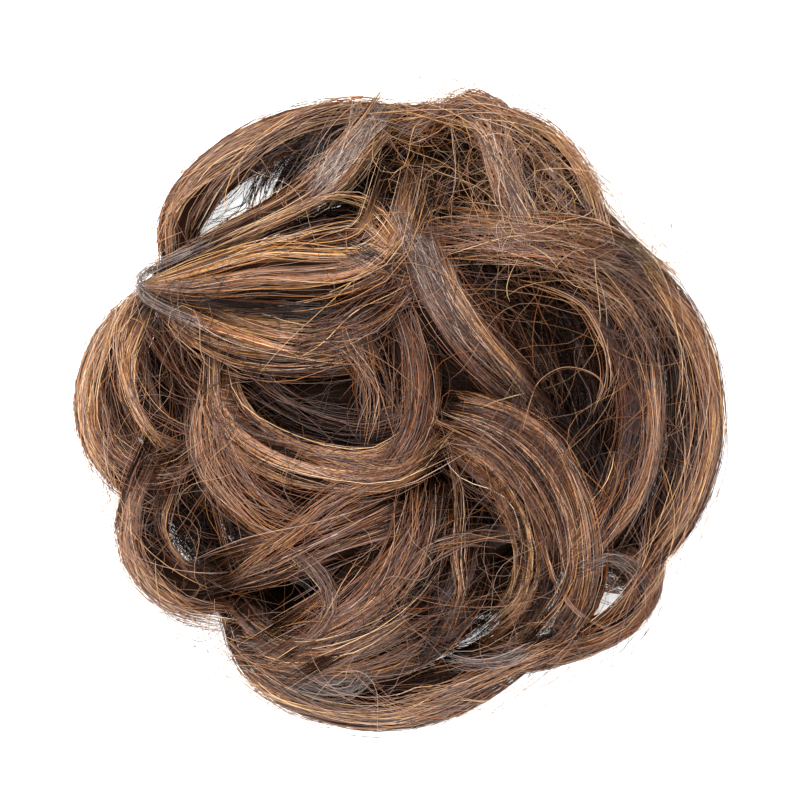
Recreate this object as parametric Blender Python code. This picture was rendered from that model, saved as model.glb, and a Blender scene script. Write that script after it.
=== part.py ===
"""Top knot hairpiece: a round messy bun of curled locks on an elastic band.

Metres, +Z up. The bun lies on a surface as it does when it is not worn. Its
origin is under the middle of its outline, at the height of that surface, and
+Y points to the top of the knot, where the small upright loop is.

Every lock is one bundle of hair with a lens shaped section that follows a
route in plan. The routes are laid one after the other, as a stylist pins
them: each lock comes down on everything that was laid before it, sags a
little between its supports and keeps a small gap to what it touches.
"""

from collections import namedtuple
from math import cos, pi, radians, sin, sqrt

import bmesh
import bpy
import numpy as np
from mathutils import Matrix, Vector
from mathutils.bvhtree import BVHTree

# Driving sizes of the whole bun
BUN_RADIUS = 0.0735
LOCK_WIDTH = 0.0150
LOCK_THICKNESS = 0.0084
LOCK_RISE = 0.0060

# Lean of the sections: the outer edge of a lock hangs lower towards the rim.
# The lean grows between two shares of BUN_RADIUS.
RIM_LEAN = radians(34)
LEAN_FROM = 0.25
LEAN_FULL = 0.85

# Elastic band that grips the wearer's own knot
BAND_INNER_RADIUS = 0.0235
BAND_WALL = 0.0032
BAND_HEIGHT = 0.0060
BAND_EDGE_ROUND = 0.0008
BAND_LIFT = 0.0010

# Weft base: the sewn rows of hair roots, turned as one ring around the band
BASE_OUTER_RADIUS = 0.0480
BASE_HEIGHT = 0.0100
BASE_EDGE_ROUND = 0.0030

# Clearances
RING_GAP = 0.0003
LAY_GAP = 0.0005

# Fineness of the faceted solids
LOCK_SIDES = 8
RING_SPACING = 0.0062
FEWEST_RINGS = 10
RING_TURN_STEPS = 40
ARC_STATIONS = 5
ROUTE_POINTS = 121
STATION_STEPS = 24
SHARP_ANGLE = radians(50)

# How a lock settles: it hangs in an arc of SAG_RADIUS between its supports,
# bends over a ridge in an arc of BEND_RADIUS, and its loose ends drop
SAG_RADIUS = 0.060
BEND_RADIUS = 0.028
STEEPEST_SLOPE = 0.8
SETTLE_STEPS = 400
SETTLE_PULL = 0.8
END_DROP = 0.00030
PROBES_PER_RING = 3
PROBE_SIDES = (-0.95, -0.6, 0.0, 0.6, 0.95)
FAR_AWAY = 1.0

# Fullness of a lock near its ends: (share of its length, share of its size)
END_SHAPE = ((0.0, 0.22), (0.035, 0.52), (0.11, 0.84), (0.26, 1.0))
SLIM_THICKNESS = 0.35

# Finish of each material: (base colour, roughness). The hair has a tone for
# its hidden, shaded, middle and lit locks.
FINISHES = {
    "hair_deep": ((0.018, 0.009, 0.005), 0.42),
    "hair_dark": ((0.045, 0.022, 0.012), 0.42),
    "hair_brown": ((0.105, 0.052, 0.028), 0.42),
    "hair_warm": ((0.165, 0.083, 0.042), 0.42),
    "sewn_weft": ((0.030, 0.016, 0.010), 0.60),
    "elastic_cord": ((0.012, 0.010, 0.009), 0.75),
}

Arc = namedtuple("Arc", "name tone width thickness rise radius start end")
Lock = namedtuple("Lock", "name tone width thickness rise stations")

# Hidden locks that follow the rim of the weft base.
# radius: share of BUN_RADIUS. start, end: degrees from +X, towards +Y.
# width, thickness, rise: shares of LOCK_WIDTH, LOCK_THICKNESS, LOCK_RISE.
BED_ARCS = [
    Arc("bed_right", "deep", (1.1, 1.3, 1.1), 1.1, 0.0, 0.72, -46, 44),
    Arc("bed_top", "deep", (1.1, 1.3, 1.1), 1.1, 0.0, 0.72, 38, 112),
    Arc("bed_left", "deep", (1.0, 1.2, 1.0), 1.1, 0.0, 0.71, 146, 218),
    Arc("bed_bottom", "deep", (1.1, 1.3, 1.1), 1.1, 0.0, 0.73, 212, 288),
    Arc("bed_lower_right", "deep", (0.9, 1.1, 0.9), 0.9, 0.0, 0.63, 280, 328),
]

# Locks by their route in plan, from the lowest to the highest.
# stations: (x, y) as shares of BUN_RADIUS. width: at the start, middle, end.
LOCKS = [
    Lock("bed_crown_back", "deep", (1.2, 1.6, 1.2), 1.0, 1.7,
         [(-0.56, 0.20), (-0.25, 0.26), (0.10, 0.25), (0.52, 0.22)]),
    Lock("bed_crown_front", "deep", (1.2, 1.6, 1.2), 1.0, 1.7,
         [(-0.54, -0.20), (-0.20, -0.26), (0.15, -0.25), (0.50, -0.24)]),
    Lock("bed_crown_middle", "deep", (1.3, 1.7, 1.3), 1.0, 1.2,
         [(-0.60, 0.00), (-0.25, 0.02), (0.10, 0.01), (0.56, 0.00)]),
    Lock("rim_left", "brown", (0.5, 0.9, 0.8), 1.8, 0.5,
         [(-0.74, 0.36), (-0.87, 0.24), (-0.93, 0.06), (-0.905, -0.10),
          (-0.81, -0.21), (-0.66, -0.26), (-0.50, -0.25)]),
    Lock("rim_lower_left", "brown", (0.8, 0.85, 0.7), 1.8, 0.4,
         [(-0.74, -0.22), (-0.79, -0.34), (-0.765, -0.47), (-0.68, -0.56),
          (-0.56, -0.57), (-0.46, -0.52)]),
    Lock("rim_bottom", "brown", (0.7, 1.0, 0.8), 1.8, 0.3,
         [(-0.50, -0.62), (-0.44, -0.74), (-0.34, -0.84), (-0.18, -0.90),
          (0.00, -0.92), (0.16, -0.88), (0.30, -0.80), (0.42, -0.72)]),
    Lock("rim_lower_right", "brown", (0.7, 0.5, 0.5), 1.4, 0.3,
         [(0.26, -0.79), (0.42, -0.77), (0.56, -0.735), (0.67, -0.70),
          (0.76, -0.62), (0.80, -0.51), (0.78, -0.38)]),
    Lock("rim_right", "brown", (0.8, 0.85, 0.8), 2.0, 0.3,
         [(0.56, 0.50), (0.70, 0.43), (0.83, 0.32), (0.915, 0.17),
          (0.94, 0.01), (0.93, -0.15), (0.88, -0.30), (0.79, -0.42),
          (0.68, -0.48)]),
    Lock("rim_upper_left", "brown", (0.6, 0.75, 0.5), 1.7, 0.6,
         [(-0.58, 0.38), (-0.67, 0.46), (-0.68, 0.58), (-0.60, 0.70), (-0.47, 0.80),
          (-0.32, 0.87), (-0.16, 0.90), (-0.02, 0.90)]),
    Lock("rim_top", "warm", (0.8, 1.2, 0.9), 1.8, 0.4,
         [(-0.14, 0.78), (0.02, 0.84), (0.18, 0.85), (0.34, 0.80),
          (0.48, 0.70)]),
    Lock("rim_upper_right", "warm", (0.5, 0.5, 0.6), 1.0, 0.5,
         [(0.22, 0.90), (0.36, 0.88), (0.47, 0.82), (0.55, 0.73),
          (0.59, 0.62), (0.66, 0.54), (0.76, 0.46)]),
    Lock("shoulder_upper_right", "brown", (0.8, 1.0, 0.8), 1.0, 0.2,
         [(0.36, 0.76), (0.46, 0.66), (0.55, 0.58), (0.66, 0.52)]),
    Lock("shadow_upper_left", "deep", (0.6, 0.8, 0.7), 1.0, 0.2,
         [(-0.34, 0.64), (-0.29, 0.73), (-0.21, 0.80), (-0.10, 0.85)]),
    Lock("curl_lower_right", "warm", (0.7, 0.45, 0.5), 0.8, 0.3,
         [(0.58, -0.42), (0.68, -0.45), (0.765, -0.52), (0.76, -0.62),
          (0.66, -0.69), (0.53, -0.73)]),
    Lock("crescent_right", "dark", (0.8, 0.95, 0.7), 1.5, 0.4,
         [(0.33, 0.44), (0.49, 0.43), (0.61, 0.37), (0.70, 0.25),
          (0.75, 0.10), (0.76, -0.06), (0.73, -0.22), (0.66, -0.35),
          (0.58, -0.46)]),
    Lock("funnel_right", "brown", (0.9, 1.2, 0.7), 0.9, 0.2,
         [(0.22, 0.40), (0.31, 0.32), (0.38, 0.19), (0.42, 0.06)]),
    Lock("inner_rim_left", "warm", (0.4, 0.65, 0.7), 1.0, 0.4,
         [(-0.76, 0.32), (-0.82, 0.18), (-0.81, 0.04), (-0.75, -0.07),
          (-0.64, -0.12), (-0.52, -0.12)]),
    Lock("curl_lower_left", "dark", (0.7, 0.7, 0.6), 1.0, 0.3,
         [(-0.50, -0.60), (-0.42, -0.69), (-0.31, -0.71), (-0.22, -0.64),
          (-0.20, -0.53), (-0.25, -0.44)]),
    Lock("sweep_bottom", "warm", (0.6, 1.0, 0.8), 1.0, 0.4,
         [(-0.44, -0.76), (-0.28, -0.79), (-0.10, -0.79), (0.06, -0.74),
          (0.20, -0.64)]),
    Lock("tangle_bottom", "dark", (0.8, 0.9, 0.8), 0.9, 0.2,
         [(0.22, -0.36), (0.22, -0.50), (0.17, -0.62), (0.10, -0.72)]),
    Lock("tangle_top", "warm", (0.8, 1.2, 0.8), 1.0, 0.4,
         [(-0.10, 0.66), (0.06, 0.68), (0.20, 0.66), (0.34, 0.60)]),
    Lock("top_knot_lock", "warm", (0.45, 0.8, 0.7), 1.0, 0.5,
         [(0.15, 0.86), (0.20, 0.925), (0.27, 0.935), (0.32, 0.86),
          (0.34, 0.77), (0.36, 0.69), (0.38, 0.61)]),
    Lock("shoulder_right", "brown", (0.7, 1.0, 0.7), 0.9, 0.3,
         [(0.17, 0.55), (0.30, 0.53), (0.44, 0.52), (0.58, 0.51),
          (0.71, 0.48)]),
    Lock("centre_fall", "brown", (0.9, 1.4, 1.2), 0.9, 0.2,
         [(0.12, -0.18), (0.10, -0.30), (0.05, -0.42), (-0.04, -0.54),
          (-0.16, -0.65), (-0.30, -0.74)]),
    Lock("centre_shade", "dark", (0.7, 0.9, 0.7), 0.9, 0.2,
         [(-0.02, 0.42), (0.05, 0.26), (0.14, 0.14), (0.26, 0.06),
          (0.38, 0.00)]),
    Lock("comma_inner", "warm", (0.7, 0.8, 0.7), 1.0, 0.4,
         [(0.15, -0.11), (0.27, -0.15), (0.37, -0.25), (0.43, -0.38),
          (0.44, -0.51), (0.40, -0.63), (0.31, -0.72)]),
    Lock("comma_outer", "warm", (0.7, 0.85, 0.6), 1.0, 0.4,
         [(0.13, 0.00), (0.29, -0.03), (0.43, -0.11), (0.53, -0.24),
          (0.58, -0.39), (0.59, -0.52), (0.55, -0.64), (0.47, -0.73)]),
    Lock("swirl_outer", "warm", (0.6, 1.0, 0.8), 1.0, 0.3,
         [(-0.59, 0.08), (-0.58, -0.08), (-0.53, -0.20), (-0.42, -0.29),
          (-0.26, -0.32), (-0.12, -0.30), (0.02, -0.24)]),
    Lock("cross_lower_left", "warm", (0.8, 1.0, 0.6), 1.0, 0.3,
         [(0.04, -0.31), (-0.09, -0.36), (-0.23, -0.41), (-0.37, -0.47),
          (-0.50, -0.51)]),
    Lock("sheaf_lower", "warm", (0.3, 1.2, 1.1), 1.0, 0.3,
         [(-0.77, 0.36), (-0.66, 0.29), (-0.52, 0.23), (-0.33, 0.20),
          (-0.15, 0.20), (-0.01, 0.22)]),
    Lock("centre_wall", "brown", (0.7, 0.8, 0.6), 0.9, 0.2,
         [(-0.01, 0.31), (0.05, 0.20), (0.07, 0.07), (0.05, -0.06), (-0.01, -0.15)]),
    Lock("swirl_inner", "warm", (0.6, 0.9, 0.7), 1.0, 0.3,
         [(-0.55, 0.12), (-0.54, 0.00), (-0.46, -0.10), (-0.32, -0.17),
          (-0.15, -0.20), (-0.02, -0.19), (0.08, -0.13)]),
    Lock("centre_diagonal", "warm", (0.7, 1.1, 0.7), 1.0, 0.3,
         [(0.06, 0.63), (0.07, 0.50), (0.12, 0.37), (0.20, 0.24),
          (0.30, 0.13), (0.41, 0.03)]),
    Lock("sheaf_middle", "warm", (0.3, 1.25, 0.9), 1.0, 0.4,
         [(-0.77, 0.38), (-0.60, 0.39), (-0.42, 0.42), (-0.24, 0.43),
          (-0.10, 0.46), (-0.02, 0.54), (0.01, 0.64)]),
    Lock("sheaf_upper", "warm", (0.3, 0.55, 0.8), 1.0, 0.4,
         [(-0.75, 0.42), (-0.61, 0.49), (-0.45, 0.57), (-0.30, 0.65),
          (-0.18, 0.75), (-0.09, 0.85), (-0.04, 0.92)]),
]


def clear_scene():
    for thing in list(bpy.data.objects):
        bpy.data.objects.remove(thing)


def add_material(name, colour, roughness):
    material = bpy.data.materials.new(name)
    material.use_nodes = True
    shader = material.node_tree.nodes["Principled BSDF"]
    shader.inputs["Base Color"].default_value = (*colour, 1.0)
    shader.inputs["Roughness"].default_value = roughness
    shader.inputs["Metallic"].default_value = 0.0
    material.diffuse_color = (*colour, 1.0)
    return material


def add_object(name, bm, material):
    bmesh.ops.recalc_face_normals(bm, faces=bm.faces)
    mesh = bpy.data.meshes.new(name)
    bm.to_mesh(mesh)
    bm.free()
    mesh.shade_smooth()
    mesh.set_sharp_from_angle(angle=SHARP_ANGLE)
    mesh.materials.append(material)
    thing = bpy.data.objects.new(name, mesh)
    bpy.context.scene.collection.objects.link(thing)
    return thing


def rounded_profile(inner, outer, low, high, round_size):
    """Corners of a turned wall whose upper edges are cut at 45 degrees."""
    return [
        (inner, low),
        (outer, low),
        (outer, high - round_size),
        (outer - round_size, high),
        (inner + round_size, high),
        (inner, high - round_size),
    ]


def turned_ring(profile):
    """Spin a closed (radius, height) profile round +Z."""
    bm = bmesh.new()
    corners = [bm.verts.new((radius, 0.0, height)) for radius, height in profile]
    edges = [bm.edges.new(pair) for pair in zip(corners, corners[1:] + corners[:1])]
    bmesh.ops.spin(bm, geom=corners + edges, cent=(0, 0, 0), axis=(0, 0, 1),
                   dvec=(0, 0, 0), angle=2 * pi, steps=RING_TURN_STEPS,
                   use_merge=True)
    bmesh.ops.triangulate(bm, faces=bm.faces)
    return bm


def elastic_band():
    outer = BAND_INNER_RADIUS + BAND_WALL
    return turned_ring(rounded_profile(
        BAND_INNER_RADIUS, outer, BAND_LIFT, BAND_LIFT + BAND_HEIGHT, BAND_EDGE_ROUND))


def weft_base():
    inner = BAND_INNER_RADIUS + BAND_WALL + RING_GAP
    return turned_ring(rounded_profile(
        inner, BASE_OUTER_RADIUS, 0.0, BASE_HEIGHT, BASE_EDGE_ROUND))


def arc_stations(arc):
    """Stations of an arc round the middle, as shares of BUN_RADIUS."""
    angles = np.radians(np.linspace(arc.start, arc.end, ARC_STATIONS))
    return [(arc.radius * cos(angle), arc.radius * sin(angle)) for angle in angles]


def smooth_route(stations, count):
    """Evenly spaced points of a Catmull-Rom curve through the stations."""
    points = np.array(stations, dtype=float)
    ahead = 2 * points[0] - points[1]
    after = 2 * points[-1] - points[-2]
    points = np.vstack([ahead, points, after])
    share = np.linspace(0.0, 1.0, STATION_STEPS, endpoint=False)[:, None]
    pieces = []
    for p0, p1, p2, p3 in zip(points, points[1:], points[2:], points[3:]):
        pieces.append(0.5 * (2 * p1 + (p2 - p0) * share
                             + (2 * p0 - 5 * p1 + 4 * p2 - p3) * share ** 2
                             + (3 * p1 - p0 - 3 * p2 + p3) * share ** 3))
    curve = np.vstack(pieces + [points[-2:-1]])
    steps = np.linalg.norm(np.diff(curve, axis=0), axis=1)
    walked = np.concatenate([[0.0], np.cumsum(steps)])
    wanted = np.linspace(0.0, walked[-1], count)
    return np.column_stack([np.interp(wanted, walked, curve[:, axis]) for axis in (0, 1)])


def end_factor(share):
    """Fullness of a lock along its length, drawn in towards both ends."""
    from_end = min(share, 1.0 - share)
    return float(np.interp(from_end, [row[0] for row in END_SHAPE],
                           [row[1] for row in END_SHAPE]))


def ring_shares(count):
    """Places of the rings along a lock, closer together at its rounded ends."""
    near = np.array([END_SHAPE[0][0], END_SHAPE[1][0]])
    inner = np.linspace(END_SHAPE[2][0], 1.0 - END_SHAPE[2][0], count - 2 * len(near))
    return np.concatenate([near, inner, 1.0 - near[::-1]])


class Route:
    """A lock's plan route with its half width, half thickness and lean."""

    def __init__(self, lock, stations):
        fine = smooth_route(np.array(stations) * BUN_RADIUS, ROUTE_POINTS)
        length = np.linalg.norm(np.diff(fine, axis=0), axis=1).sum()
        count = max(FEWEST_RINGS, int(round(length / RING_SPACING)) + 1)
        self.rings = ring_shares(count)
        self.fine = fine
        self.length = length
        self.lock = lock
        self.fine_shares = np.linspace(0.0, 1.0, len(fine))
        slope = np.gradient(fine, axis=0)
        self.slope = slope / np.linalg.norm(slope, axis=1)[:, None]

    def place(self, share):
        return [float(np.interp(share, self.fine_shares, self.fine[:, axis]))
                for axis in (0, 1)]

    def heading(self, share):
        along = [float(np.interp(share, self.fine_shares, self.slope[:, axis]))
                 for axis in (0, 1)]
        return Vector((*along, 0.0)).normalized()

    def half_width(self, share):
        full = np.interp(share, (0.0, 0.5, 1.0), self.lock.width)
        return 0.5 * float(full) * LOCK_WIDTH * end_factor(share)

    def half_thickness(self, share):
        full = float(np.interp(share, (0.0, 0.5, 1.0), self.lock.width))
        slim = min(1.0, SLIM_THICKNESS + (1.0 - SLIM_THICKNESS) * full)
        return 0.5 * self.lock.thickness * LOCK_THICKNESS * slim * end_factor(share)

    def axes(self, share, climb=0.0):
        """Sideways and upward axis of the section; the outer edge leans down."""
        along = self.heading(share)
        x, y = self.place(share)
        reach = sqrt(x * x + y * y)
        aside = Vector((along.y, -along.x, 0.0))
        along = Vector((along.x, along.y, climb)).normalized()
        upward = aside.cross(along)
        if reach > 0:
            outward = (aside.x * x + aside.y * y) / reach
            fall = float(np.interp(reach / BUN_RADIUS, (LEAN_FROM, LEAN_FULL), (0, 1)))
            lean = RIM_LEAN * fall * outward
            aside, upward = (aside * cos(lean) - upward * sin(lean),
                             aside * sin(lean) + upward * cos(lean))
        return aside, upward, along


class Pile:
    """Everything that has been laid so far, asked for its upper surface."""

    def __init__(self):
        self.vertices = []
        self.triangles = []
        self.solids = []
        self.tree = None

    def add(self, thing):
        start = len(self.vertices)
        places = [Vector(v.co) for v in thing.data.vertices]
        self.vertices += places
        self.triangles += [[start + i for i in face.vertices]
                           for face in thing.data.polygons]
        self.tree = BVHTree.FromPolygons(self.vertices, self.triangles)
        self.solids.append(Solid(places, thing.data))

    def top(self, x, y):
        hit = self.tree.ray_cast(Vector((x, y, FAR_AWAY)), Vector((0, 0, -1)))[0]
        return hit.z if hit else 0.0


class Solid:
    """Edges and faces of one laid solid, to measure what is laid on it."""

    def __init__(self, places, mesh):
        self.places = np.array(places)
        self.edges = np.array([edge.vertices[:] for edge in mesh.edges])
        faces = [face.vertices[:] for face in mesh.polygons]
        self.tree = BVHTree.FromPolygons(places, faces)
        self.low = self.places.min(axis=0)
        self.high = self.places.max(axis=0)

    def overlaps_in_plan(self, other):
        return bool((self.low[:2] < other.high[:2]).all()
                    and (other.low[:2] < self.high[:2]).all())

    def height_above(self, other):
        """Least height of this solid over the other, wherever they cross in plan."""
        least = crossing_height(self, other)
        for x, y, z in self.places:
            hit = other.tree.ray_cast(Vector((x, y, FAR_AWAY)), Vector((0, 0, -1)))[0]
            if hit:
                least = min(least, z - hit.z)
        for x, y, z in other.places:
            hit = self.tree.ray_cast(Vector((x, y, -FAR_AWAY)), Vector((0, 0, 1)))[0]
            if hit:
                least = min(least, hit.z - z)
        return least


def crossing_height(upper, lower):
    """Least height between two solids' edges where they cross in plan."""
    a, b = (upper.places[upper.edges[:, end]] for end in (0, 1))
    c, d = (lower.places[lower.edges[:, end]] for end in (0, 1))
    first = (b - a)[:, None, :]
    second = (d - c)[None, :, :]
    offset = c[None, :, :] - a[:, None, :]
    turn = first[..., 0] * second[..., 1] - first[..., 1] * second[..., 0]
    with np.errstate(divide="ignore", invalid="ignore"):
        t = (offset[..., 0] * second[..., 1] - offset[..., 1] * second[..., 0]) / turn
        u = (offset[..., 0] * first[..., 1] - offset[..., 1] * first[..., 0]) / turn
        height = (a[:, None, 2] + t * first[..., 2]) - (c[None, :, 2] + u * second[..., 2])
    meets = (t >= 0) & (t <= 1) & (u >= 0) & (u <= 1)
    return float(height[meets].min()) if meets.any() else FAR_AWAY


def needed_heights(route, pile):
    """(share, height) pairs that the lock's middle line has to stay above."""
    probes = []
    count = (len(route.rings) - 1) * PROBES_PER_RING + 1
    for share in np.linspace(0.0, 1.0, count):
        x, y = route.place(share)
        aside, upward, _ = route.axes(share)
        width = route.half_width(share)
        depth = route.half_thickness(share)
        height = -FAR_AWAY
        for side in PROBE_SIDES:
            step = aside * (side * width)
            under = step.z - depth * sqrt(1.0 - side * side) * upward.z
            top = pile.top(x + step.x, y + step.y)
            height = max(height, top + LAY_GAP - under)
        probes.append((share, height))
    return probes


def settled_heights(route, pile):
    """Heights of a hanging chain that has come to rest on what lies below."""
    probes = needed_heights(route, pile)
    shares = np.array([share for share, _ in probes])
    floors = np.array([height for _, height in probes])
    apart = route.length * (shares[:, None] - shares[None, :])
    floors = (floors[None, :] - apart ** 2 / (2 * BEND_RADIUS)).max(axis=1)
    rings = route.rings
    left = np.clip(np.searchsorted(rings, shares, side="right") - 1, 0, len(rings) - 2)
    part = (shares - rings[left]) / (rings[left + 1] - rings[left])
    push = 1.0 / (part ** 2 + (1.0 - part) ** 2)
    steps = route.length * np.diff(rings)
    before, after = steps[:-1], steps[1:]
    hang = before * after / (2 * SAG_RADIUS)
    z = np.full(len(rings), floors.max())
    for _ in range(SETTLE_STEPS):
        straight = (z[:-2] * after + z[2:] * before) / (before + after)
        z[1:-1] += SETTLE_PULL * (straight - hang - z[1:-1])
        z[[0, -1]] -= END_DROP
        for probe, (i, f, k) in enumerate(zip(left, part, push)):
            short = floors[probe] - ((1.0 - f) * z[i] + f * z[i + 1])
            if short > 0:
                z[i] += short * (1.0 - f) * k
                z[i + 1] += short * f * k
        z[0] = max(z[0], z[1] - STEEPEST_SLOPE * steps[0])
        z[-1] = max(z[-1], z[-2] - STEEPEST_SLOPE * steps[-1])
    return z + route.lock.rise * LOCK_RISE * np.sin(pi * rings)


def lock_mesh(route, heights):
    """Sweep the lens shaped section along the route at the settled heights."""
    climbs = np.gradient(heights, route.rings * route.length)
    frames = []
    for share, height, climb in zip(route.rings, heights, climbs):
        aside, upward, along = route.axes(share, float(climb))
        x, y = route.place(share)
        width = aside * route.half_width(share)
        depth = upward * route.half_thickness(share)
        frame = Matrix((width, depth, along)).transposed().to_4x4()
        frame.translation = (x, y, height)
        frames.append(frame)
    bm = bmesh.new()
    bmesh.ops.create_circle(bm, cap_ends=True, segments=LOCK_SIDES, radius=1.0,
                            matrix=frames[0])
    edges = list(bm.edges)
    for before, frame in zip(frames, frames[1:]):
        grown = bmesh.ops.extrude_edge_only(bm, edges=edges)["geom"]
        verts = [item for item in grown if isinstance(item, bmesh.types.BMVert)]
        edges = [item for item in grown
                 if isinstance(item, bmesh.types.BMEdge) and item.is_boundary]
        bmesh.ops.transform(bm, matrix=frame @ before.inverted(), verts=verts)
    bmesh.ops.contextual_create(bm, geom=edges)
    bmesh.ops.triangulate(bm, faces=bm.faces)
    return bm


def lay_lock(lock, stations, pile, material):
    """Make one lock, drop it exactly LAY_GAP above the pile and add it."""
    route = Route(lock, stations)
    thing = add_object(lock.name, lock_mesh(route, settled_heights(route, pile)), material)
    new = Solid([Vector(v.co) for v in thing.data.vertices], thing.data)
    above_floor = float(new.low[2])
    spare = min([above_floor + LAY_GAP]
                + [new.height_above(old) for old in pile.solids if new.overlaps_in_plan(old)])
    thing.data.transform(Matrix.Translation((0, 0, LAY_GAP - spare)))
    pile.add(thing)
    return thing


def centre_on_outline(things):
    """Move the whole part so that its plan box is centred on the origin."""
    corners = np.array([v.co for thing in things for v in thing.data.vertices])
    low, high = corners.min(axis=0), corners.max(axis=0)
    shift = Matrix.Translation((-(low[0] + high[0]) / 2, -(low[1] + high[1]) / 2, 0))
    for thing in things:
        thing.data.transform(shift)


def main():
    clear_scene()
    finishes = {name: add_material(name, colour, roughness)
                for name, (colour, roughness) in FINISHES.items()}
    pile = Pile()
    things = [
        add_object("elastic_band", elastic_band(), finishes["elastic_cord"]),
        add_object("weft_base", weft_base(), finishes["sewn_weft"]),
    ]
    for thing in things:
        pile.add(thing)
    for arc in BED_ARCS:
        things.append(lay_lock(arc, arc_stations(arc), pile, finishes["hair_" + arc.tone]))
    for lock in LOCKS:
        things.append(lay_lock(lock, lock.stations, pile, finishes["hair_" + lock.tone]))
    centre_on_outline(things)


main()
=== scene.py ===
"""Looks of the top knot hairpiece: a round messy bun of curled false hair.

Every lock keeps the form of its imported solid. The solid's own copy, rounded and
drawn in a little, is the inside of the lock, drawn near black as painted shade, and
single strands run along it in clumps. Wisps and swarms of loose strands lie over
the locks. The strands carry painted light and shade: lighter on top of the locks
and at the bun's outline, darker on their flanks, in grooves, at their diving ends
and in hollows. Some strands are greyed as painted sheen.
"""

from collections import namedtuple
from math import pi

import bmesh
import bpy
import numpy as np
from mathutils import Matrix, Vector
from mathutils.bvhtree import BVHTree


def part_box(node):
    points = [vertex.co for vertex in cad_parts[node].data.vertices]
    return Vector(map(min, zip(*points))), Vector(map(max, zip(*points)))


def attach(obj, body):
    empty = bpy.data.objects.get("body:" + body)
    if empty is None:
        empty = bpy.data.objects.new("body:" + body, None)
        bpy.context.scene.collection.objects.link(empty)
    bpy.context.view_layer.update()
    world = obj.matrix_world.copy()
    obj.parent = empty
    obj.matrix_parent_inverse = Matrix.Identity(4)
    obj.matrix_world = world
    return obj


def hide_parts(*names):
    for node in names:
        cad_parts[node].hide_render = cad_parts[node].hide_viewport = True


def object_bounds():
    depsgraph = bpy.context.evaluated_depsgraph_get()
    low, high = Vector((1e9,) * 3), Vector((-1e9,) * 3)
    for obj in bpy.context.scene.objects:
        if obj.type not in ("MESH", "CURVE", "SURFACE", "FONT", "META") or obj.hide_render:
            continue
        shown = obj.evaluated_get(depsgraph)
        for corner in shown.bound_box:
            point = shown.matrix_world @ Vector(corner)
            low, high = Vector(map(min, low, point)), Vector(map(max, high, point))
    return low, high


MM = 0.001

# The plan: routes, places and spreads in it are in hundredths of BUN_RADIUS,
# from the middle of the elastic band
BUN_RADIUS = 73.5 * MM
PLAN = BUN_RADIUS / 100

# How a lock's form is felt out from its solid. Rays that look down or up start
# at SKY, far from everything, in metres.
FORM_RINGS = 49
FORM_RAYS = 20
ROUTE_STEPS = 24
END_SHARE = 0.012
FORM_SMOOTHINGS = 2
WIDEST_OPENING = 4.0
SKY = 1.0

# The inside of a lock, drawn near black as painted shade, and its share of the piece's map
CORE_INSET = 0.75 * MM
CORE_SMOOTHINGS = 2
CORE_LINE = (0.35 * MM, 9 * MM)
MERGE_DISTANCE = 0.001 * MM
CORE_STRIP = (0.0, 0.1)
LOCK_STRIP = (0.1, 1.0)
LOOSE_STRIP = (0.0, 1.0)

# A strand is drawn about three times as thick as a real hair, so that it shows
STRAND_RADIUS = (0.070 * MM, 0.115 * MM)
STRAND_SIDES = 3
STRAND_STEP = 5.6 * MM
FEWEST_STEPS = 8
MOST_STEPS = 16
TIP_TAPER = ((0.0, 0.06, 0.86, 1.0), (0.55, 1.0, 1.0, 0.35))
TONE_SPREAD = 0.11
ODD_TONE = 0.24
GOLDEN_SHARE = 0.12
DARK_SHARE = 0.18

# Clumps of a lock: strands that keep together and share a tone.
# Angles are in radians round the lock, depths in shares of its thickness.
CLUMP_STRANDS = 40
CLUMP_HALF_ANGLE = 0.38
CLUMP_CREST = 0.24
CLUMP_DEPTH = (0.80, 0.98)
CLUMP_WANDER = 0.24
CLUMP_DRIFT = 0.32
CLUMP_TONE = 0.07
UNDER_SHARE = 0.10
STRAND_DRIFT = 0.30
BUNDLES = 5
GROOVE_DEPTH = 0.16
GROOVE_SHADE = 0.55

# Stray strands of a lock, and how its open ends dive under their neighbours
STRAY_SHARE = 0.10
STRAY_WANDER = 3.2
STRAY_LIFT = 0.30
STRAY_THICKNESS = 0.85
STRAY_LIT = 0.80
DIVE = 2.2 * MM
DIVE_SHARE = 0.16
LOCK_FLOOR = 0.3 * MM

# Loose strands: their thickness against a lock's strands, and their light: what
# they have in the dark and what full daylight adds to it
WISP_THICKNESS = 0.85
SWARM_THICKNESS = 0.62
LOOSE_STEPS = 13
LOOSE_SEED = 500
LOOSE_LIMIT = 1.03
LOOSE_FLOOR = 0.4 * MM
WISP_LIT = (0.10, 0.65)
SWARM_LIT = (0.08, 0.58)
EDGE_LIT = (0.30, 0.60)
EDGE_STRANDS = 240
EDGE_TONE = 0.66

# A stream of only a few strands gets more steps, because each of them shows
FEW_STRANDS = 14
FINE_STEPS = 30

# Threads of the elastic cover and rows of the sewn weft, drawn about twice as
# coarse as they are so that they show
BAND_THREADS = 150
THREAD_MM = 1.1
ROW_MM = 3.0
ROW_STITCHES = 110

# Height map of the whole bun, on which loose strands are laid, and how little
# daylight reaches its hollows
MAP_HALF = 90 * MM
MAP_STEP = 0.9 * MM
TENT_SMOOTHINGS = 350
SHADE_DEPTH = 9 * MM
RIM_LIGHT = (0.84, 0.97)
RIM_LIT = 0.62

# The camera looks straight down. The photo's frame is 800 pixels wide, and the
# bun's outline takes 656 of them round the pixel (398, 411).
IMAGE_PIXELS = 800
OUTLINE_PIXELS = 656
OUTLINE_MIDDLE = (398, 411)
CAMERA_HEIGHT = 3000 * MM
RIM_HEIGHT = 14 * MM
SENSOR = 36.0

Lock = namedtuple("Lock", "name slot strands tone fan reach stations")
Wisp = namedtuple("Wisp", "name strands tone width lift stations slot ash",
                  defaults=("hair_warm", 0.0))
Swarm = namedtuple("Swarm", "name slot strands tone place spread heading turn length bend"
                            " lift span ash", defaults=(0.0,))

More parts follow.
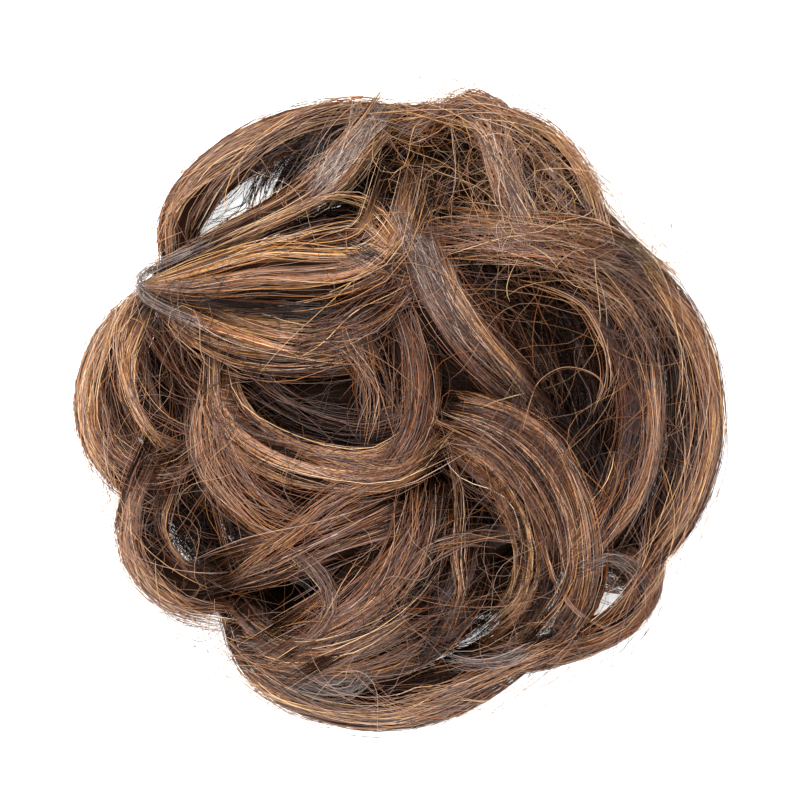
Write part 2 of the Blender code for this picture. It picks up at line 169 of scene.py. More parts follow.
# Hidden locks along the rim of the weft base: name, radius and the start and
# the end of their arc in degrees
BED_ARCS = [
    ("bed_right", 72, -46, 44),
    ("bed_top", 72, 38, 112),
    ("bed_left", 71, 146, 218),
    ("bed_bottom", 73, 212, 288),
    ("bed_lower_right", 63, 280, 328),
]
BED_STATIONS = 5
BED_STRANDS = 70

# Locks by their route in plan, from the lowest to the highest.
# strands: how many. tone: where their colour sits, 0 dark to 1 golden.
# fan: how far the start and the end open to the full width, 0 to 1.
# reach: how far the strands run on past the start and the end, in mm.
LOCKS = [
    # The hair_deep locks lie low and get a low tone as painted shade
    Lock("bed_crown_back", "hair_deep", 95, 0.1, (1, 1), (6, 6), [(-56, 20), (-25, 26), (10, 25),
         (52, 22)]),
    Lock("bed_crown_front", "hair_deep", 95, 0.1, (1, 1), (6, 6), [(-54, -20), (-20, -26), (15, -25),
         (50, -24)]),
    Lock("bed_crown_middle", "hair_deep", 95, 0.1, (1, 1), (6, 6), [(-60, 0), (-25, 2), (10, 1),
         (56, 0)]),
    Lock("rim_left", "hair_brown", 355, 0.5, (0, 1), (1, 9), [(-74, 36), (-87, 24), (-93, 6),
         (-90.5, -10), (-81, -21), (-66, -26), (-50, -25)]),
    Lock("rim_lower_left", "hair_brown", 305, 0.42, (1, 0.8), (8, 6), [(-74, -22), (-79, -34),
         (-76.5, -47), (-68, -56), (-56, -57), (-46, -52)]),
    Lock("rim_bottom", "hair_brown", 355, 0.5, (0.3, 0.7), (2, 6), [(-50, -62), (-44, -74), (-34, -84),
         (-18, -90), (0, -92), (16, -88), (30, -80), (42, -72)]),
    Lock("rim_lower_right", "hair_brown", 230, 0.45, (0.8, 0.8), (8, 8), [(26, -79), (42, -77),
         (56, -73.5), (67, -70), (76, -62), (80, -51), (78, -38)]),
    Lock("rim_right", "hair_brown", 385, 0.34, (0.8, 0.7), (8, 4), [(56, 50), (70, 43), (83, 32),
         (91.5, 17), (94, 1), (93, -15), (88, -30), (79, -42), (68, -48)]),
    Lock("rim_upper_left", "hair_brown", 300, 0.52, (0.2, 0.6), (3, 8), [(-58, 38), (-67, 46),
         (-68, 58), (-60, 70), (-47, 80), (-32, 87), (-16, 90), (-2, 90)]),
    Lock("rim_top", "hair_warm", 300, 0.58, (1, 1), (8, 10), [(-14, 78), (2, 84), (18, 85), (34, 80),
         (48, 70)]),
    Lock("rim_upper_right", "hair_warm", 210, 0.68, (0.8, 0.8), (10, 10), [(22, 90), (36, 88), (47, 82),
         (55, 73), (59, 62), (66, 54), (76, 46)]),
    Lock("shoulder_upper_right", "hair_brown", 190, 0.5, (1, 0.6), (8, 3), [(36, 76), (46, 66),
         (55, 58), (66, 52)]),
    # This lock fills a hollow; its low tone is painted shade
    Lock("shadow_upper_left", "hair_deep", 150, 0.22, (1, 1), (8, 6), [(-34, 64), (-29, 73), (-21, 80),
         (-10, 85)]),
    Lock("curl_lower_right", "hair_warm", 150, 0.55, (0.8, 0.6), (6, 6), [(58, -42), (68, -45),
         (76.5, -52), (76, -62), (66, -69), (53, -73)]),
    Lock("crescent_right", "hair_dark", 380, 0.33, (1, 1), (10, 10), [(33, 44), (49, 43), (61, 37),
         (70, 25), (75, 10), (76, -6), (73, -22), (66, -35), (58, -46)]),
    Lock("funnel_right", "hair_brown", 210, 0.45, (1, 0.8), (8, 6), [(22, 40), (31, 32), (38, 19),
         (42, 6)]),
    Lock("inner_rim_left", "hair_warm", 230, 0.5, (0, 1), (1, 9), [(-76, 32), (-82, 18), (-81, 4),
         (-75, -7), (-64, -12), (-52, -12)]),
    Lock("curl_lower_left", "hair_dark", 190, 0.26, (0.8, 1), (8, 6), [(-50, -60), (-42, -69),
         (-31, -71), (-22, -64), (-20, -53), (-25, -44)]),
    Lock("sweep_bottom", "hair_warm", 250, 0.44, (0.3, 1), (1, 9), [(-44, -76), (-28, -79), (-10, -79),
         (6, -74), (20, -64)]),
    Lock("tangle_bottom", "hair_dark", 180, 0.3, (1, 1), (7, 7), [(22, -36), (22, -50), (17, -62),
         (10, -72)]),
    Lock("tangle_top", "hair_warm", 230, 0.6, (1, 1), (9, 9), [(-10, 66), (6, 68), (20, 66), (34, 60)]),
    Lock("top_knot_lock", "hair_warm", 210, 0.58, (0.4, 1), (2, 8), [(15, 86), (20, 92.5), (27, 93.5),
         (32, 86), (34, 77), (36, 69), (38, 61)]),
    Lock("shoulder_right", "hair_brown", 250, 0.5, (1, 0.4), (8, 2), [(17, 55), (30, 53), (44, 52),
         (58, 51), (71, 48)]),
    Lock("centre_fall", "hair_brown", 318, 0.48, (0.7, 1), (5, 9), [(12, -18), (10, -30), (5, -42),
         (-4, -54), (-16, -65), (-30, -74)]),
    Lock("centre_shade", "hair_dark", 190, 0.34, (1, 0.8), (8, 7), [(-2, 42), (5, 26), (14, 14),
         (26, 6), (38, 0)]),
    Lock("comma_inner", "hair_warm", 280, 0.62, (0.5, 1), (2, 9), [(15, -11), (27, -15), (37, -25),
         (43, -38), (44, -51), (40, -63), (31, -72)]),
    Lock("comma_outer", "hair_warm", 320, 0.42, (0.5, 0.6), (2, 5), [(13, 0), (29, -3), (43, -11),
         (53, -24), (58, -39), (59, -52), (55, -64), (47, -73)]),
    Lock("swirl_outer", "hair_warm", 308, 0.52, (0.5, 1), (5, 7), [(-59, 8), (-58, -8), (-53, -20),
         (-42, -29), (-26, -32), (-12, -30), (2, -24)]),
    Lock("cross_lower_left", "hair_warm", 260, 0.44, (1, 0.8), (7, 10), [(4, -31), (-9, -36),
         (-23, -41), (-37, -47), (-50, -51)]),
    Lock("sheaf_lower", "hair_warm", 355, 0.6, (0, 1), (1, 5), [(-77, 36), (-66, 29), (-52, 23),
         (-33, 20), (-15, 20), (-1, 22)]),
    Lock("centre_wall", "hair_dark", 210, 0.42, (1, 1), (6, 7), [(-1, 31), (5, 20), (7, 7), (5, -6),
         (-1, -15)]),
    Lock("swirl_inner", "hair_warm", 308, 0.58, (0.4, 1), (3, 7), [(-55, 12), (-54, 0), (-46, -10),
         (-32, -17), (-15, -20), (-2, -19), (8, -13)]),
    Lock("centre_diagonal", "hair_warm", 300, 0.48, (1, 0.6), (5, 6), [(6, 63), (7, 50), (12, 37),
         (20, 24), (30, 13), (41, 3)]),
    Lock("sheaf_middle", "hair_warm", 385, 0.6, (0, 1), (1, 5), [(-77, 38), (-60, 39), (-42, 42),
         (-24, 43), (-10, 46), (-2, 54), (1, 64)]),
    Lock("sheaf_upper", "hair_warm", 308, 0.54, (0, 1), (1, 2), [(-75, 42), (-61, 49), (-45, 57),
         (-30, 65), (-18, 75), (-9, 85), (-4, 92)]),
]

# Thin streams of strands over the locks.
# tone: 0 dark to 1 golden. width: about half the stream's width in mm.
# lift: its hump over the locks in mm. The grey share, 0 to 1: how far its colour is greyed as painted
# sheen.
WISPS = [
    Wisp("fringe_arch", 14, 0.72, 0.9, 0.6, [(-36, 89), (-26, 94), (-15, 96.5), (-3, 95.5)]),
    Wisp("fringe_arch_inner", 14, 0.62, 1, 0.4, [(-40, 82), (-28, 88.5), (-12, 91.5)]),
    Wisp("arch_crossing", 22, 0.66, 2.4, 1, [(-62, 55), (-55, 68), (-44, 80), (-30, 89), (-14, 93)]),
    Wisp("gap_fringe", 34, 0.42, 2.6, -1, [(-43, 60), (-42, 68), (-38, 75), (-31, 80)],
         slot="hair_brown"),
    Wisp("gap_lace", 16, 0.45, 3, -3, [(-60, 56), (-52, 60), (-46, 66), (-42, 74)], slot="hair_brown",
         ash=0.3),
    Wisp("sheaf_tips", 110, 0.62, 4.6, 0.3, [(-25, 68), (-18, 76), (-12, 84), (-6, 92)],
         slot="hair_brown", ash=0.8),
    Wisp("sheaf_crossing", 34, 0.72, 2.2, 0.8, [(-60, 47), (-46, 53), (-30, 60), (-16, 68), (-7, 80)]),
    Wisp("sheaf_arc_upper", 22, 0.72, 1.8, 1, [(-46, 53), (-33, 60), (-20, 65.5), (-8, 63.5),
         (-1, 54)]),
    Wisp("sheaf_arc_lower", 26, 0.66, 2.4, 0.8, [(-52, 46), (-36, 52), (-22, 56), (-10, 57), (-2, 50)]),
    Wisp("sheaf_bristles_low", 80, 0.44, 4, 0.6, [(-30, 18), (-18, 21), (-7, 26), (3, 34)]),
    Wisp("sheaf_bristles_high", 70, 0.4, 3.4, 0.8, [(-24, 25), (-13, 29), (-3, 36), (4, 43)]),
    Wisp("pinch_wrap", 46, 0.4, 1.7, 0.4, [(-60, 50), (-70, 45.5), (-77.5, 42), (-80.5, 38.5),
         (-78.5, 35), (-72, 31.5), (-62, 27)], slot="hair_brown", ash=0.9),
    Wisp("pinch_middle", 36, 0.5, 1.5, 0.3, [(-79.5, 38.5), (-74, 37.5), (-64, 37.5), (-52, 39)],
         ash=0.3),
    Wisp("pinch_left_rim", 30, 0.6, 1.6, 0.3, [(-76, 38), (-81, 34), (-86, 28), (-90, 20), (-93, 10)]),
    Wisp("wisp_left_rim", 20, 0.72, 1.3, 0.6, [(-82, 33), (-86, 21), (-84.5, 11), (-81, 0),
         (-74, -10)]),
    Wisp("left_rim_crossing", 34, 0.5, 3, 0.6, [(-95, 2), (-90, -12), (-80, -20), (-68, -20),
         (-58, -14)]),
    Wisp("left_hollow_fall", 60, 0.34, 4.5, -2, [(-72, 28), (-68, 16), (-66, 4), (-64, -10)],
         slot="hair_brown"),
    Wisp("left_hollow_cross", 40, 0.46, 5, -0.5, [(-76, 24), (-68, 13), (-58, 5), (-48, 2)]),
    Wisp("wisp_left_fall", 44, 0.62, 2.6, 0.5, [(-61, 6), (-62, -6), (-60, -17), (-53, -28), (-44, -37),
         (-36, -41)]),
    Wisp("wisp_left_drop", 26, 0.55, 2.6, 0.2, [(-60, -13), (-57, -24), (-54, -35), (-52, -44),
         (-50, -50)]),
    Wisp("swirl_auburn", 46, 0.5, 3.4, 0.5, [(-56, -2), (-53, -14), (-46, -24), (-37, -31),
         (-30, -34)]),
    Wisp("wisp_cross_left", 60, 0.5, 3.6, 0.5, [(-8, -24), (-20, -29), (-31, -37), (-40, -44),
         (-49, -51)]),
    Wisp("swirl_to_centre", 50, 0.56, 3.4, 0.4, [(-30, -14), (-17, -19), (-4, -21), (6, -17),
         (12, -9)]),
    Wisp("hollow_curve", 60, 0.3, 4, -1, [(-46, 10), (-36, 2), (-24, -4), (-10, -6), (2, -3)],
         slot="hair_dark"),
    Wisp("centre_stream", 60, 0.44, 3, 0.4, [(2, 30), (6, 18), (7.5, 5), (5, -8), (-2, -19)],
         slot="hair_brown"),
    Wisp("diagonal_sheen", 60, 0.34, 4.2, 0.4, [(4, 60), (8, 46), (14, 33), (23, 21), (33, 10)],
         slot="hair_brown", ash=0.6),
    Wisp("diagonal_warm", 34, 0.62, 2.4, 0.6, [(12, 50), (17, 36), (26, 23), (36, 11), (43, 2)]),
    Wisp("diagonal_head", 60, 0.5, 4.6, 0.5, [(2, 66), (6, 56), (11, 45), (14, 36)], slot="hair_brown",
         ash=0.6),
    Wisp("wisp_bottom_sweep", 60, 0.54, 3, 0.6, [(-44, -71), (-36, -76.5), (-22, -77.5), (-6, -73),
         (6, -66)]),
    Wisp("wisp_lower_curl", 50, 0.42, 2.6, 0.5, [(-30, -46), (-23, -53), (-20, -61), (-24, -69),
         (-32, -74), (-42, -73)], slot="hair_brown", ash=0.3),
    Wisp("bottom_sheen_left", 46, 0.5, 2.6, 0.4, [(-34, -84), (-24, -88), (-14, -87.5), (-8, -82)],
         slot="hair_brown", ash=1),
    Wisp("bottom_sheen_right", 40, 0.5, 2.2, 0.5, [(16, -78), (24, -80), (32, -79), (42, -75)],
         slot="hair_brown", ash=1),
    Wisp("wisp_bottom_rim", 54, 0.7, 2.6, 0.4, [(-47, -83), (-37, -90), (-20, -95.5), (-2, -96.5),
         (14, -92)]),
    Wisp("bottom_rim_tail", 40, 0.64, 2.4, 0.3, [(4, -92), (18, -88), (30, -83), (42, -78), (54, -74)]),
    Wisp("fall_crossing", 70, 0.5, 5, 0.5, [(8, -26), (6, -40), (0, -52), (-10, -62), (-22, -70)]),
    Wisp("wisp_comma_crest", 30, 0.58, 1.8, 0.4, [(26, 2), (38, -2), (49, -10), (56, -23), (60, -36),
         (61, -50), (59, -63)]),
    Wisp("comma_crossing", 50, 0.52, 3.4, 0.5, [(16, -6), (28, -12), (39, -22), (47, -36), (50, -52)]),
    Wisp("wisp_centre_drop", 22, 0.55, 1.8, 0.5, [(17, -15), (19.5, -26), (19.8, -36), (19, -47),
         (20.4, -56), (17, -67)]),
    Wisp("wisp_lower_arc", 34, 0.55, 2.6, 0.5, [(2, -52), (9, -45), (17, -41), (25, -39), (35, -40)]),
    Wisp("wisp_lower_right", 9, 0.72, 0.9, 0.8, [(46, -43), (50, -55), (57, -64), (66, -69)]),
    Wisp("lower_right_loop", 40, 0.44, 2.4, 0.6, [(58, -50), (66, -47), (74, -50), (78.5, -57)],
         slot="hair_brown", ash=0.5),
    Wisp("gap_cover_upper", 76, 0.34, 3.2, -2.5, [(55, -46), (61, -51), (69, -54), (78, -54.5)],
         slot="hair_brown", ash=0.3),
    # From here to sheaf_end_shade, the hair_deep wisps are near-black strands laid in slits and hollows
    # between locks as painted shade
    Wisp("slit_sheaf_upper", 30, 0.05, 1.2, 0, [(-74, 41.5), (-62, 45.5), (-52, 48), (-42, 50)],
         slot="hair_deep"),
    Wisp("slit_sheaf_lower", 56, 0.05, 1.5, 0.5, [(-64, 33.5), (-50, 31.5), (-36, 30.5), (-22, 30),
         (-8, 30)], slot="hair_deep"),
    Wisp("slit_arch", 60, 0.06, 4, 0.5, [(-42, 70), (-35, 76), (-28, 80), (-22, 86)], slot="hair_deep"),
    Wisp("slit_right", 90, 0.12, 3, -1.5, [(75, 38), (83.5, 25), (87, 8), (87, -10), (83, -26)],
         slot="hair_deep"),
    Wisp("slit_comma", 60, 0.08, 3, -0.5, [(50, 0), (59, -10), (65.5, -24), (66.5, -38)],
         slot="hair_deep"),
    Wisp("slit_between_commas", 40, 0.08, 1.6, 0, [(30, -8), (40, -17), (47.5, -30), (50, -44),
         (47, -58)], slot="hair_deep"),
    Wisp("slit_comma_tips", 76, 0.08, 2.8, -1.5, [(49, -42), (48.5, -52), (45.5, -61), (40, -70)],
         slot="hair_deep"),
    Wisp("slit_below_pinch", 40, 0.1, 2.2, -1, [(-71, 35), (-74, 28), (-76.5, 19), (-77, 10)],
         slot="hair_deep"),
    Wisp("slit_sheaf_arc", 56, 0.1, 2.6, -1, [(-46, 50.5), (-36, 55), (-26, 59.5), (-15, 63.5)],
         slot="hair_deep"),
    Wisp("slit_swirl", 40, 0.08, 2.6, -3, [(-32, -8), (-20, -11), (-8, -11), (2, -8)],
         slot="hair_deep"),
    Wisp("hollow_lower_left", 70, 0.12, 6, -2.5, [(-76, -30), (-66, -36), (-55, -39), (-42, -40)],
         slot="hair_deep"),
    Wisp("hollow_lower_left_fall", 50, 0.14, 6, -2.5, [(-60, -24), (-64, -35), (-63, -44), (-56, -52)],
         slot="hair_deep"),
    Wisp("slit_lower_left", 44, 0.1, 2.8, -2, [(-70, -32), (-67, -38), (-63.5, -43), (-59, -47)],
         slot="hair_deep"),
    Wisp("sheaf_end_shade", 26, 0.16, 3, 0.5, [(-19, 51.5), (-10, 47), (-2, 42), (4, 36)],
         slot="hair_deep"),
    Wisp("centre_bristles", 66, 0.52, 5, 0.2, [(-15, 24), (-10, 14), (-7, 4), (-7, -8)]),
    Wisp("comma_root", 60, 0.44, 4.4, -0.5, [(14, -12), (22, -20), (30, -28), (36, -38)],
         slot="hair_brown"),
    # Near-black strands in a slit as painted shade
    Wisp("slit_bottom", 56, 0.16, 2, -1, [(10, -76.5), (15, -73.5), (20, -70), (25, -66.5)],
         slot="hair_dark"),
    Wisp("gap_cover_left", 50, 0.42, 2.6, -2.5, [(60, -42), (60, -52), (59, -62), (55, -71)],
         slot="hair_brown", ash=0.2),
    Wisp("wisp_right_inner", 34, 0.58, 2.2, 0.5, [(80, 10), (81, -4), (80, -17), (75, -29), (66, -40)]),
    Wisp("right_tail", 40, 0.48, 3, 0.4, [(70, -16), (67, -28), (61, -38), (54, -46)]),
    Wisp("wisp_hollow_loop", 5, 0.6, 0.5, 2, [(40, -4), (42, 2), (45, 8), (52, 12), (60, 11), (64.5, 7),
         (62, 0)]),
    Wisp("wisp_hollow_edge", 12, 0.55, 1.6, 0.8, [(36, 40), (47, 37), (58, 31), (64.5, 19), (66, 8),
         (63, -2)]),
    Wisp("hollow_right_wall", 60, 0.22, 5, -2, [(30, 40), (42, 33), (52, 22), (58, 8), (60, -8)],
         slot="hair_dark"),
    Wisp("hollow_left_wall", 70, 0.24, 5, -2, [(24, 44), (30, 32), (36, 20), (42, 8), (46, -4)],
         slot="hair_brown"),
    Wisp("shoulder_flow", 70, 0.56, 6, 0.8, [(10, 50), (28, 50), (46, 48), (62, 43), (75, 34),
         (83, 22)]),
    Wisp("wisp_knot_arc", 40, 0.68, 1.8, 0.3, [(33, 93), (47, 87.5), (56.5, 78), (62, 67), (64, 58)]),
    Wisp("knot_fill", 80, 0.5, 4.2, 0.5, [(22, 92), (28, 86), (33, 76), (37, 65), (41, 56)],
         slot="hair_brown", ash=0.4),
    Wisp("knot_back", 50, 0.58, 3.4, 0.4, [(2, 86), (10, 90), (18, 95), (26, 97)]),
    Wisp("rim_right_gold", 76, 0.64, 2.8, 0.2, [(82, 38), (93, 23), (98.5, 5), (98.5, -12), (93, -30),
         (83, -44)]),
    Wisp("rim_left_gold", 44, 0.7, 2.2, 0.3, [(-83, 32), (-92, 20), (-96.5, 5), (-95, -9), (-87, -21)]),
    Wisp("rim_lower_left_gold", 80, 0.6, 3, 0.3, [(-83, -30), (-83.5, -43), (-78, -54.5), (-67, -63),
         (-55, -65.5)]),
    Wisp("rim_upper_left_gold", 40, 0.66, 2.2, 0.3, [(-72, 46), (-72, 60), (-64, 73), (-50, 83),
         (-34, 90)]),
]

# Loose strands that cross a region, place and spread in the plan.
# heading, turn, bend: degrees. length, lift: mm.
# span: how far they span the dips below them, 0 to 1.
SWARMS = [
    # The bed swarms are dark strands low in the hollows; their low tone is painted shade
    Swarm("bed_right_hollow", "hair_deep", 180, 0.17, (50, 8), (30, 50), 80, 34, (20, 40), 60,
          (0.2, 2.2), (0, 0.15)),
    Swarm("bed_left_hollow", "hair_deep", 80, 0.14, (-26, 2), (45, 20), 10, 34, (20, 36), 60, (0.2, 2),
          (0, 0.15)),
    Swarm("bed_lower_hollow", "hair_deep", 110, 0.14, (22, -52), (36, 36), 70, 40, (16, 34), 60,
          (0.2, 2), (0, 0.15)),
    Swarm("bed_left_rim_hollow", "hair_deep", 102, 0.14, (-64, -15), (22, 80), 80, 40, (14, 30), 60,
          (0.2, 2), (0, 0.15)),
    Swarm("bed_lower_left_hollow", "hair_deep", 70, 0.1, (-65, -38), (12, 14), 70, 50, (7, 15), 40,
          (0.5, 4), (0, 0.15)),
    Swarm("bed_comma_gap", "hair_deep", 44, 0.1, (46, -60), (5, 14), 72, 24, (7, 15), 30, (1, 5),
          (0, 0.15)),
    Swarm("bed_bottom_gap", "hair_deep", 30, 0.14, (16, -72), (8, 5), 30, 24, (7, 14), 30, (1, 5),
          (0, 0.15)),
    Swarm("net_right_hollow", "hair_warm", 60, 0.44, (55, 8), (26, 50), 78, 30, (24, 52), 80, (-1, 3),
          (0.2, 1)),
    Swarm("net_right_rim", "hair_warm", 90, 0.5, (80, -5), (16, 75), 92, 18, (22, 50), 50, (-0.5, 2),
          (0.2, 1)),
    Swarm("net_top", "hair_warm", 195, 0.66, (15, 74), (46, 28), 15, 44, (16, 40), 110, (-0.5, 2.5),
          (0.2, 1)),
    Swarm("net_top_right", "hair_warm", 100, 0.72, (42, 64), (30, 32), -45, 30, (18, 42), 80, (-0.5, 2),
          (0.2, 1), ash=0.1),
    Swarm("net_shoulder", "hair_brown", 120, 0.5, (38, 45), (60, 20), -12, 16, (24, 56), 50, (-0.5, 2),
          (0.2, 1)),
    Swarm("net_left_hollow", "hair_brown", 44, 0.36, (-28, 2), (44, 22), 30, 40, (16, 38), 60,
          (-2, 1.5), (0.2, 0.8), ash=0.3),
    Swarm("net_lower_left", "hair_warm", 80, 0.55, (-55, -40), (36, 36), -60, 34, (16, 38), 80, (-1, 2),
          (0.2, 1)),
    Swarm("net_bottom", "hair_warm", 95, 0.5, (20, -52), (44, 36), 60, 42, (18, 44), 80, (-1.5, 2),
          (0.2, 1)),
    Swarm("net_bottom_rim", "hair_warm", 90, 0.58, (-5, -76), (75, 18), 8, 16, (20, 46), 50,
          (-0.5, 1.6), (0.2, 1)),
    Swarm("net_left_rim", "hair_warm", 70, 0.56, (-74, 5), (20, 45), 82, 28, (16, 38), 80, (-0.5, 2),
          (0.2, 1)),
    Swarm("net_all", "hair_warm", 60, 0.64, (0, 0), (110, 110), 0, 90, (22, 54), 80, (0, 3), (0.2, 1)),
]


def linear(hex_colour):
    """An sRGB hex colour as linear red, green, blue and alpha."""
    shares = [int(hex_colour[i:i + 2], 16) / 255 for i in (1, 3, 5)]
    return [s / 12.92 if s <= 0.04045 else ((s + 0.055) / 1.055) ** 2.4 for s in shares] + [1.0]


def add_node(tree, kind, settings=(), *values, **links):
    """Add a node, give it its settings and fill its inputs, by their order or by
    name, with numbers or with links to other nodes' outputs."""
    node = tree.nodes.new(kind)
    for name, value in dict(settings).items():
        setattr(node, name, value)
    filled = list(zip(node.inputs, values))
    filled += [(node.inputs[name.replace("_", " ")], value) for name, value in links.items()]
    for target, value in filled:
        if isinstance(value, bpy.types.NodeSocket):
            tree.links.new(value, target)
        else:
            target.default_value = value
    return node


def set_ramp(node, stops):
    """Give a colour ramp its (position, hex colour) stops."""
    ramp = node.color_ramp
    while len(ramp.elements) > 1:
        ramp.elements.remove(ramp.elements[-1])
    ramp.elements[0].position = stops[0][0]
    ramp.elements[0].color = linear(stops[0][1])
    for position, colour in stops[1:]:
        ramp.elements.new(position).color = linear(colour)
    return node.outputs["Color"]


def new_material(name, roughness):
    """A new material with its node tree and its shader."""
    material = bpy.data.materials.new(name)
    material.use_nodes = True
    shader = material.node_tree.nodes["Principled BSDF"]
    shader.inputs["Roughness"].default_value = roughness
    return material, material.node_tree, shader


def extruded_hair_fibre():
    """Extruded synthetic hair fibre, dyed in mixed browns: each strand has its own
    tone between near black and gold and more or less copper, and some are greyed
    as painted sheen. Painted light and shade from the lit values darken it to near
    black in shade, lighten it where lit and lower its gloss in shade; its round
    glossy sides catch a thin cool line of light."""
    material, tree, shader = new_material("extruded_hair_fibre", 0.30)
    tone, along, lit, ash = (
        add_node(tree, "ShaderNodeAttribute", {"attribute_name": name}).outputs["Fac"]
        for name in ("tone", "along", "lit", "ash"))
    colour = set_ramp(add_node(tree, "ShaderNodeValToRGB", Fac=tone), [
        (0.00, "#0e0704"), (0.22, "#2a150b"), (0.45, "#542f1b"), (0.66, "#7f4f2b"),
        (0.84, "#a27544"), (1.00, "#c29e6a")])
    # Spread apart, the tones number the strands, and each number has its own dye
    number = add_node(tree, "ShaderNodeMath", {"operation": "MULTIPLY"}, tone,
                      613.0).outputs["Value"]
    whole = add_node(tree, "ShaderNodeMath", {"operation": "FLOOR"}, number)
    dye = add_node(tree, "ShaderNodeTexWhiteNoise", {"noise_dimensions": "1D"},
                   W=whole.outputs["Value"])
    chroma = add_node(tree, "ShaderNodeMapRange", Value=dye.outputs["Value"], To_Min=0.55,
                      To_Max=1.08)
    # Strands with a grey share are greyed as painted sheen
    kept = add_node(tree, "ShaderNodeMapRange", Value=ash, To_Min=1.0, To_Max=0.45)
    greyed = add_node(tree, "ShaderNodeMath", {"operation": "MULTIPLY"},
                      chroma.outputs["Result"], kept.outputs["Result"])
    place = add_node(tree, "ShaderNodeCombineXYZ", X=number, Y=along)
    stretched = add_node(tree, "ShaderNodeMapping", Vector=place.outputs["Vector"],
                         Scale=(1.0, 5.0, 1.0))
    uneven = add_node(tree, "ShaderNodeTexNoise", Vector=stretched.outputs["Vector"],
                      Scale=1.0, Detail=1.0)
    patchy = add_node(tree, "ShaderNodeMapRange", Value=uneven.outputs["Fac"], From_Min=0.3,
                      From_Max=0.7, To_Min=0.8, To_Max=1.25)
    # Painted light and shade: the lit values darken the colour where strands lie in shade and lighten
    # it on lit crests and at the outline
    shaded = add_node(tree, "ShaderNodeMapRange", Value=lit, To_Min=0.04, To_Max=1.36)
    value = add_node(tree, "ShaderNodeMath", {"operation": "MULTIPLY"},
                     patchy.outputs["Result"], shaded.outputs["Result"])
    # Painted shade also takes the gloss away from strands that lie in shade
    gloss = add_node(tree, "ShaderNodeMapRange", Value=lit, From_Min=0.30, To_Min=0.02,
                     To_Max=0.42)
    dyed = add_node(tree, "ShaderNodeHueSaturation", Color=colour,
                    Saturation=greyed.outputs["Value"], Value=value.outputs["Value"])
    tree.links.new(dyed.outputs["Color"], shader.inputs["Base Color"])
    tree.links.new(gloss.outputs["Result"], shader.inputs["Specular IOR Level"])
    shader.inputs["Specular Tint"].default_value = linear("#e9ecf6")
    shader.inputs["IOR"].default_value = 1.50
    return material


def shaded_inner_hair():
    """The same fibre inside a lock, seen only between strands: drawn near black
    brown as painted shade, with fine lighter lines that run along the lock."""
    material, tree, shader = new_material("shaded_inner_hair", 0.8)
    across, along = (
        add_node(tree, "ShaderNodeAttribute", {"attribute_name": name}).outputs["Fac"]
        for name in ("across", "along"))
    place = add_node(tree, "ShaderNodeCombineXYZ", X=across, Y=along).outputs["Vector"]
    lines = add_node(tree, "ShaderNodeTexNoise", Vector=place, Scale=1.0,
                     Detail=2.0).outputs["Fac"]
    # Near black colours: painted shade between the strands
    colour = set_ramp(add_node(tree, "ShaderNodeValToRGB", Fac=lines), [
        (0.30, "#060302"), (0.55, "#120905"), (0.75, "#23140d")])
    tree.links.new(colour, shader.inputs["Base Color"])
    bump = add_node(tree, "ShaderNodeBump", Height=lines, Strength=0.6, Distance=0.15 * MM)
    tree.links.new(bump.outputs["Normal"], shader.inputs["Normal"])
    shader.inputs["Specular IOR Level"].default_value = 0.02
    return material


def ring_measures(tree, middle):
    """Distance from the middle, angle round it and height, lengths in millimetres,
    at each point of a part that is turned round the middle of the bun."""
    place = add_node(tree, "ShaderNodeTexCoord").outputs["Object"]
    centred = add_node(tree, "ShaderNodeMapping", Vector=place, Scale=(1 / MM,) * 3,
                       Location=(-middle[0] / MM, -middle[1] / MM, 0.0))
    parts = add_node(tree, "ShaderNodeSeparateXYZ", Vector=centred.outputs["Vector"])
    x, y, height = (parts.outputs[axis] for axis in "XYZ")
    flat = add_node(tree, "ShaderNodeCombineXYZ", X=x, Y=y).outputs["Vector"]
    radius = add_node(tree, "ShaderNodeVectorMath", {"operation": "LENGTH"}, Vector=flat)
    angle = add_node(tree, "ShaderNodeMath", {"operation": "ARCTAN2"}, y, x)
    return radius.outputs["Value"], angle.outputs["Value"], height


def ripple(tree, value, spacing):
    """A sine from -1 to 1 that repeats at each spacing of the value."""
    turned = add_node(tree, "ShaderNodeMath", {"operation": "MULTIPLY"}, value,
                      2 * pi / spacing)
    return add_node(tree, "ShaderNodeMath", {"operation": "SINE"},
                    turned.outputs["Value"]).outputs["Value"]


def braided_polyester_elastic(middle):
    """Braided polyester cover of an elastic cord: dull brown black, with small
    crossing threads that catch a faint light."""
    material, tree, shader = new_material("braided_polyester_elastic", 0.7)
    _, angle, height = ring_measures(tree, middle)
    threads = add_node(tree, "ShaderNodeMath", {"operation": "MULTIPLY"},
                       ripple(tree, angle, 2 * pi / BAND_THREADS),
                       ripple(tree, height, THREAD_MM))
    braid = add_node(tree, "ShaderNodeMapRange", Value=threads.outputs["Value"],
                     From_Min=-1.0).outputs["Result"]
    colour = set_ramp(add_node(tree, "ShaderNodeValToRGB", Fac=braid), [
        (0.0, "#0d0907"), (0.6, "#1d1512"), (1.0, "#352822")])
    tree.links.new(colour, shader.inputs["Base Color"])
    bump = add_node(tree, "ShaderNodeBump", Height=braid, Strength=0.8, Distance=0.25 * MM)
    tree.links.new(bump.outputs["Normal"], shader.inputs["Normal"])
    return material


